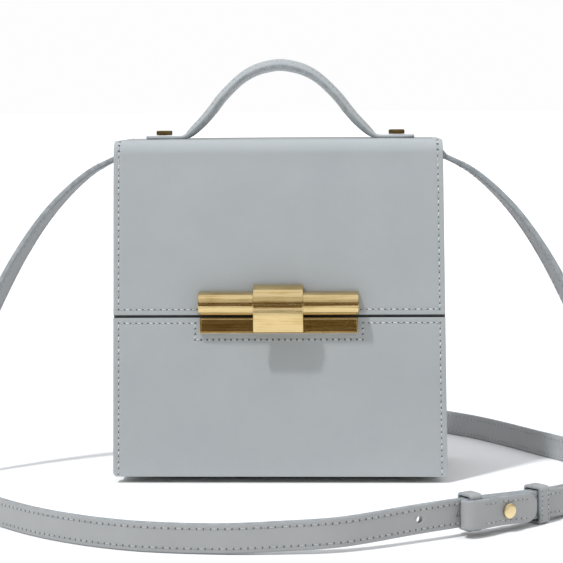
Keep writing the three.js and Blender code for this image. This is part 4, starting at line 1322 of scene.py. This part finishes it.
    def build_root(self, name: str, side: int) -> None:
        """Build a half's ring and its tab on the gusset."""
        body = self.body
        centre = Vector((side * (self.inner_x + self.outer_x) / 2, body.middle, self.ring_z))
        reach, half, round_off = (self.outer_x - self.inner_x) / 2, self.ring_half, 1.4
        corners = []
        for sx, sy, start in ((1, 1, 0), (-1, 1, 90), (-1, -1, 180), (1, -1, 270)):
            for i in range(7):
                angle = math.radians(start + i * 15)
                corners.append(centre + Vector((
                    sx * (reach - round_off) + round_off * math.cos(angle),
                    sy * (half - round_off) + round_off * math.sin(angle), 0,
                )))
        corners.append(corners[0])

        def place(column: float, row: float) -> Vector:
            i = round(row)
            before, after = corners[(i - 1) % 28], corners[(i + 1) % 28]
            along = (after - before).normalized()
            turn = math.radians(column)
            out = along.cross(UP)
            return corners[i % 28] + (out * math.cos(turn) + UP * math.sin(turn)) * self.wire

        wire = Skin([float(a) for a in range(0, 361, 20)], [float(i) for i in range(29)], place, closed=True)
        outfit(f"wire_ring_{name}", wire.shell(), [GOLD], (f"strap_ring_{name}",))
        self.build_tab(name, side)

    def build_tab(self, name: str, side: int) -> None:
        """Build the tab: a leather strip sewn on the gusset, that rises into a loop round the ring."""
        body, radius = self.body, self.wire + self.body.gap + self.tab_wall
        near, low = self.gusset_x + body.gap, self.ring_z - self.tab_height

        def face(row: float) -> tuple[float, float]:
            """Return out from the gusset and up, along the tab's outer face."""
            climb = self.tab_height
            if row <= climb:
                swell = ease((row - climb + 8) / 8)
                return mix(near + self.tab_thickness, near + 2 * radius, swell), low + row
            angle = (row - climb) / radius
            return near + radius + radius * math.cos(angle), self.ring_z + radius * math.sin(angle)

        total = self.tab_height + math.pi * radius

        def place(column: float, row: float) -> Vector:
            x, z = face(row)
            end = max(0.0, 4.0 - row)
            spread = self.width / 2 - 4 + math.sqrt(max(16 - end * end, 0.0)) if row < 4 else self.width / 2
            lip = 0.12 * (abs(column) > 0.9)
            return Vector((side * (x - lip), body.middle + side * column * spread, z))

        columns = [-1, -0.93, -0.8, -0.5, 0, 0.5, 0.8, 0.93, 1]
        rows = [0, 0.3, 0.8, 1.6, 2.6, 4] + spaced(6, self.tab_height - 8, 2)
        rows += spaced(self.tab_height - 7, self.tab_height, 1)
        rows += spaced(self.tab_height + 0.5, total, 0.6)
        skin = Skin(columns, rows, place)
        shell = skin.shell()
        tab = outfit(f"sewn_tab_{name}", shell, [STRAP_CALF, PAINT], (f"strap_tab_{name}",))
        thicken(tab, self.tab_thickness - 0.1, 0.3)
        seam = Seam(pitch=2.6, length=1.9, width=0.55, height=0.3, hole=0.36)
        for column in (-0.72, 0.72):
            seam.sew(skin, (column, 3.0), (column, self.tab_height - 8), 1)
        seam.sew(skin, (-0.55, 2.2), (0.55, 2.2), 1)
        outfit(f"tab_stitching_{name}", seam.shell(), [STRAP_THREAD, HOLE_SHADE])

    def build_keeper(
        self, name: str, past: float, inner: float, outer: float, low: float, high: float,
    ) -> None:
        """Build a soft leather loop round the straps.

        Args:
            name: Which keeper it is.
            past: Its place past the stud.
            inner: Its inside's offset behind the long half.
            outer: Its inside's offset in front of the straps.
            low: Its inside's lower height.
            high: Its inside's upper height.
        """
        origin = self.beside(past, 0)
        outward = (self.beside(past, 1) - origin).normalized()
        origin.z = 0
        back = outward.cross(UP)
        r = self.keeper_corner
        loop: list[tuple[Vector, Vector]] = []
        for cx, cz, start in ((outer, low, -90), (outer, high, 0), (inner, high, 90), (inner, low, 180)):
            sx, sz = (1 if cx == outer else -1), (1 if cz == high else -1)
            for i in range(7):
                angle = math.radians(start + i * 15)
                out = outward * math.cos(angle) + UP * math.sin(angle)
                grow = r - self.keeper_wall
                centre = origin + outward * (cx - sx * grow) + UP * (cz - sz * grow)
                loop.append((centre + out * r, out))
                if i == 6 and start in (-90, 90):
                    far = loop[-1][0] + UP * (high - low - 2 * grow) * (1 if start == -90 else -1)
                    loop += [(loop[-1][0].lerp(far, s), out) for s in (0.25, 0.5, 0.75)]
        count = len(loop)
        section = [
            (-1, -1), (-0.8, -1), (0.8, -1), (1, -1), (1, -0.4), (0.9, 0), (0.78, 0), (-0.78, 0), (-0.9, 0),
            (-1, -0.4), (-1, -1),
        ]

        def place(column: float, row: float) -> Vector:
            spot, out = loop[round(row) % count]
            across, through = between(section, column)
            return spot + back * (across * self.keeper_width / 2) + out * (through * self.keeper_wall)

        def finish(column: float, row: float) -> int:
            """Return paint for the cut edges, and for the inside the rough back, lightened as painted fill
            light.
            """
            return 1 if int(column) in {2, 3, 4, 8, 9} else (2 if int(column) < 2 else 0)

        def front(column: float, row: float) -> Vector:
            """Return a place on the front face: across from -1 to 1, and up from 0 to 1."""
            return loop[6][0].lerp(loop[10][0], row) + back * (column * self.keeper_width / 2)

        finishes, slot = [STRAP_CALF, PAINT, STRAP_BACK_PAINTED_FILL], "strap_leather"
        columns = [float(i) for i in range(len(section))]
        skin = Skin(columns, [float(i) for i in range(count + 1)], place, finish, True)
        outfit(f"soft_keeper_{name}", skin.shell(), finishes, (f"strap_keeper_{name}",), crease=60)
        flat = Skin([0.0, 1.0], [0.0, 1.0], front)
        out = -1.0 if flat.normal(0, 0.5).dot(outward) < 0 else 1.0
        seam = Seam(pitch=2.4, length=1.8, width=0.5, height=0.28, hole=0.32)
        for column in (-0.62, 0.62):
            seam.sew(flat, (column, 0.0), (column, 1.0), out)
        outfit(f"keeper_stitching_{name}", seam.shell(), [STRAP_THREAD, HOLE_SHADE])

    def build_stud(self) -> None:
        """Build the round stud that pins the fold."""
        face = self.tip_offset + self.thickness / 2 + self.body.gap
        back = -self.thickness / 2 - self.body.gap
        r = self.stud_radius
        profile = [
            (0, back - 0.75), (2.4, back - 0.75), (2.6, back - 0.5), (2.6, back), (1.3, back), (1.3, face),
            (r - 0.3, face), (r, face + 0.3), (r, face + 0.9), (r - 0.12, face + 1.2), (r - 0.4, face + 1.36),
            (r * 0.5, face + 1.47), (0, face + self.stud_head),
        ]
        outward = (self.beside(0, 1) - self.beside(0, 0)).normalized()
        stud = turned(profile, self.beside(0, 0), outward)
        outfit("domed_stud", stud, [SATIN_GOLD], ("strap_stud",), crease=40)


@dataclass
class Studio:
    """A white table in a soft room, and the camera at the photograph's angle."""

    camera_place: tuple[float, float, float] = (0.038005, -1.001298, 0.205108)
    azimuth: float = 2.069
    pitch: float = 2.80
    roll: float = -0.377
    lens: float = 118.35
    shift: float = -0.15
    sensor: float = 36.0
    sun_power: float = 2.25
    sun_angle: float = 4.0
    sun_colour: tuple[float, float, float] = (0.975, 0.985, 1.0)
    sun_way: tuple[float, float, float] = (9.2, 10, -23.2)
    room_light: float = 1.13
    room_white: float = 0.985

    def build(self) -> None:
        """Build the camera, the table, the lights and the room."""
        self.build_camera()
        self.build_table()
        self.build_light()
        self.build_room()

    def build_camera(self) -> None:
        """Place the camera."""
        a, p, r = (math.radians(x) for x in (self.azimuth, self.pitch, self.roll))
        ahead = Vector((-math.sin(a) * math.cos(p), math.cos(a) * math.cos(p), -math.sin(p)))
        right = Vector((math.cos(a), math.sin(a), 0))
        up = right.cross(ahead)
        right, up = right * math.cos(r) + up * math.sin(r), up * math.cos(r) - right * math.sin(r)
        lens = bpy.data.cameras.new("camera")
        lens.lens = self.lens
        lens.sensor_width = self.sensor
        lens.sensor_fit = "HORIZONTAL"
        lens.shift_y = self.shift
        camera = in_scene("camera", lens)
        turn = Matrix((right, up, -ahead)).transposed().to_4x4()
        camera.matrix_world = Matrix.Translation(self.camera_place) @ turn
        bpy.context.scene.camera = camera

    def plain(self, name: str, colour: str, roughness: float) -> Material:
        """Return a plain material for the table or a card."""
        made = bpy.data.materials.new(name)
        made.use_nodes = True
        surface = made.node_tree.nodes["Principled BSDF"]
        feed(surface, {"Base Color": linear(colour), "Roughness": roughness, "Specular IOR Level": 0.2})
        return made

    def build_table(self) -> None:
        """Build the table top, and a dark card on it in front of the bag that only gloss sees: a painted dark
        reflection.
        """
        shell = bmesh.new()
        bmesh.ops.create_grid(shell, x_segments=1, y_segments=1, size=60.0)
        self.stage("table_top", shell, self.plain("white_paper", "#F2F2F2", 0.9))
        # A dark card that the camera, diffuse light and shadows don't see: painted dark reflection in the gold
        # and the leather's gloss
        dark = bmesh.new()
        bmesh.ops.create_grid(dark, x_segments=1, y_segments=1, size=3.0)
        bmesh.ops.translate(dark, vec=(0, -3.24, 0.0008), verts=dark.verts[:])
        card = self.stage("painted_dark_reflection_card", dark, self.plain("painted_reflection_dark", "#5E4E32", 0.95))
        card.visible_camera = card.visible_diffuse = card.visible_shadow = card.visible_transmission = False

    def stage(self, name: str, shell: BMesh, material: Material) -> Object:
        """Make a piece of the room that isn't part of the bag."""
        made = in_scene(name, as_mesh(name, shell, material))
        return made

    def build_light(self) -> None:
        """Hang the key light, high at the front left."""
        lamp = bpy.data.lights.new("key", "SUN")
        lamp.energy = self.sun_power
        lamp.angle = math.radians(self.sun_angle)
        lamp.color = self.sun_colour
        key = in_scene("key", lamp)
        key.rotation_mode = "QUATERNION"
        key.rotation_quaternion = Vector(self.sun_way).to_track_quat("-Z", "Y")
        # The key is a round lamp, whose mirror image on the gold would be a hot line
        key.visible_glossy = False

    def build_room(self) -> None:
        """Light the room: dark low down, lighter above, and plain white to the camera."""
        world = bpy.data.worlds.new("room")
        bpy.context.scene.world = world
        world.use_nodes = True
        tree = world.node_tree
        tree.nodes.clear()
        way = add(tree, "TexCoord")
        height = add(tree, "SeparateXYZ", {0: way.outputs["Generated"]})
        rise = add(tree, "MapRange", {"Value": height.outputs["Z"], "From Min": 0.0, "From Max": 1.0})
        tone = ramp(tree, rise.outputs[0], [
            (0.0, "#5E4E31"), (0.22, "#5E4E31"), (0.28, "#CECCC8"), (0.6, "#CCCCCA"), (0.8, "#F0F3FA"),
        ])
        lit = add(tree, "Background", {"Color": tone, "Strength": self.room_light})
        white = add(tree, "Background", {"Color": (1, 1, 1, 1), "Strength": self.room_white})
        seen = add(tree, "LightPath").outputs["Is Camera Ray"]
        both = add(tree, "MixShader", {0: seen, 1: lit.outputs[0], 2: white.outputs[0]})
        add(tree, "OutputWorld", {"Surface": both.outputs[0]})
        bpy.context.scene.view_settings.view_transform = "Standard"


def dress_pin() -> None:
    """Give the clasp's pin, which stays as it is, the gold finish."""
    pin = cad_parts["clasp_pin"]
    pin.data.materials.clear()
    pin.data.materials.append(GOLD.material())


def main() -> None:
    """Build the bag and the studio."""
    logging.basicConfig(level=logging.INFO, format="%(message)s")
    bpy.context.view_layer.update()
    Studio().build()
    body = Body()
    body.build()
    Handle(body).build()
    Clasp(body).build()
    dress_pin()
    Strap(body).build()


if __name__ == "__main__":
    main()
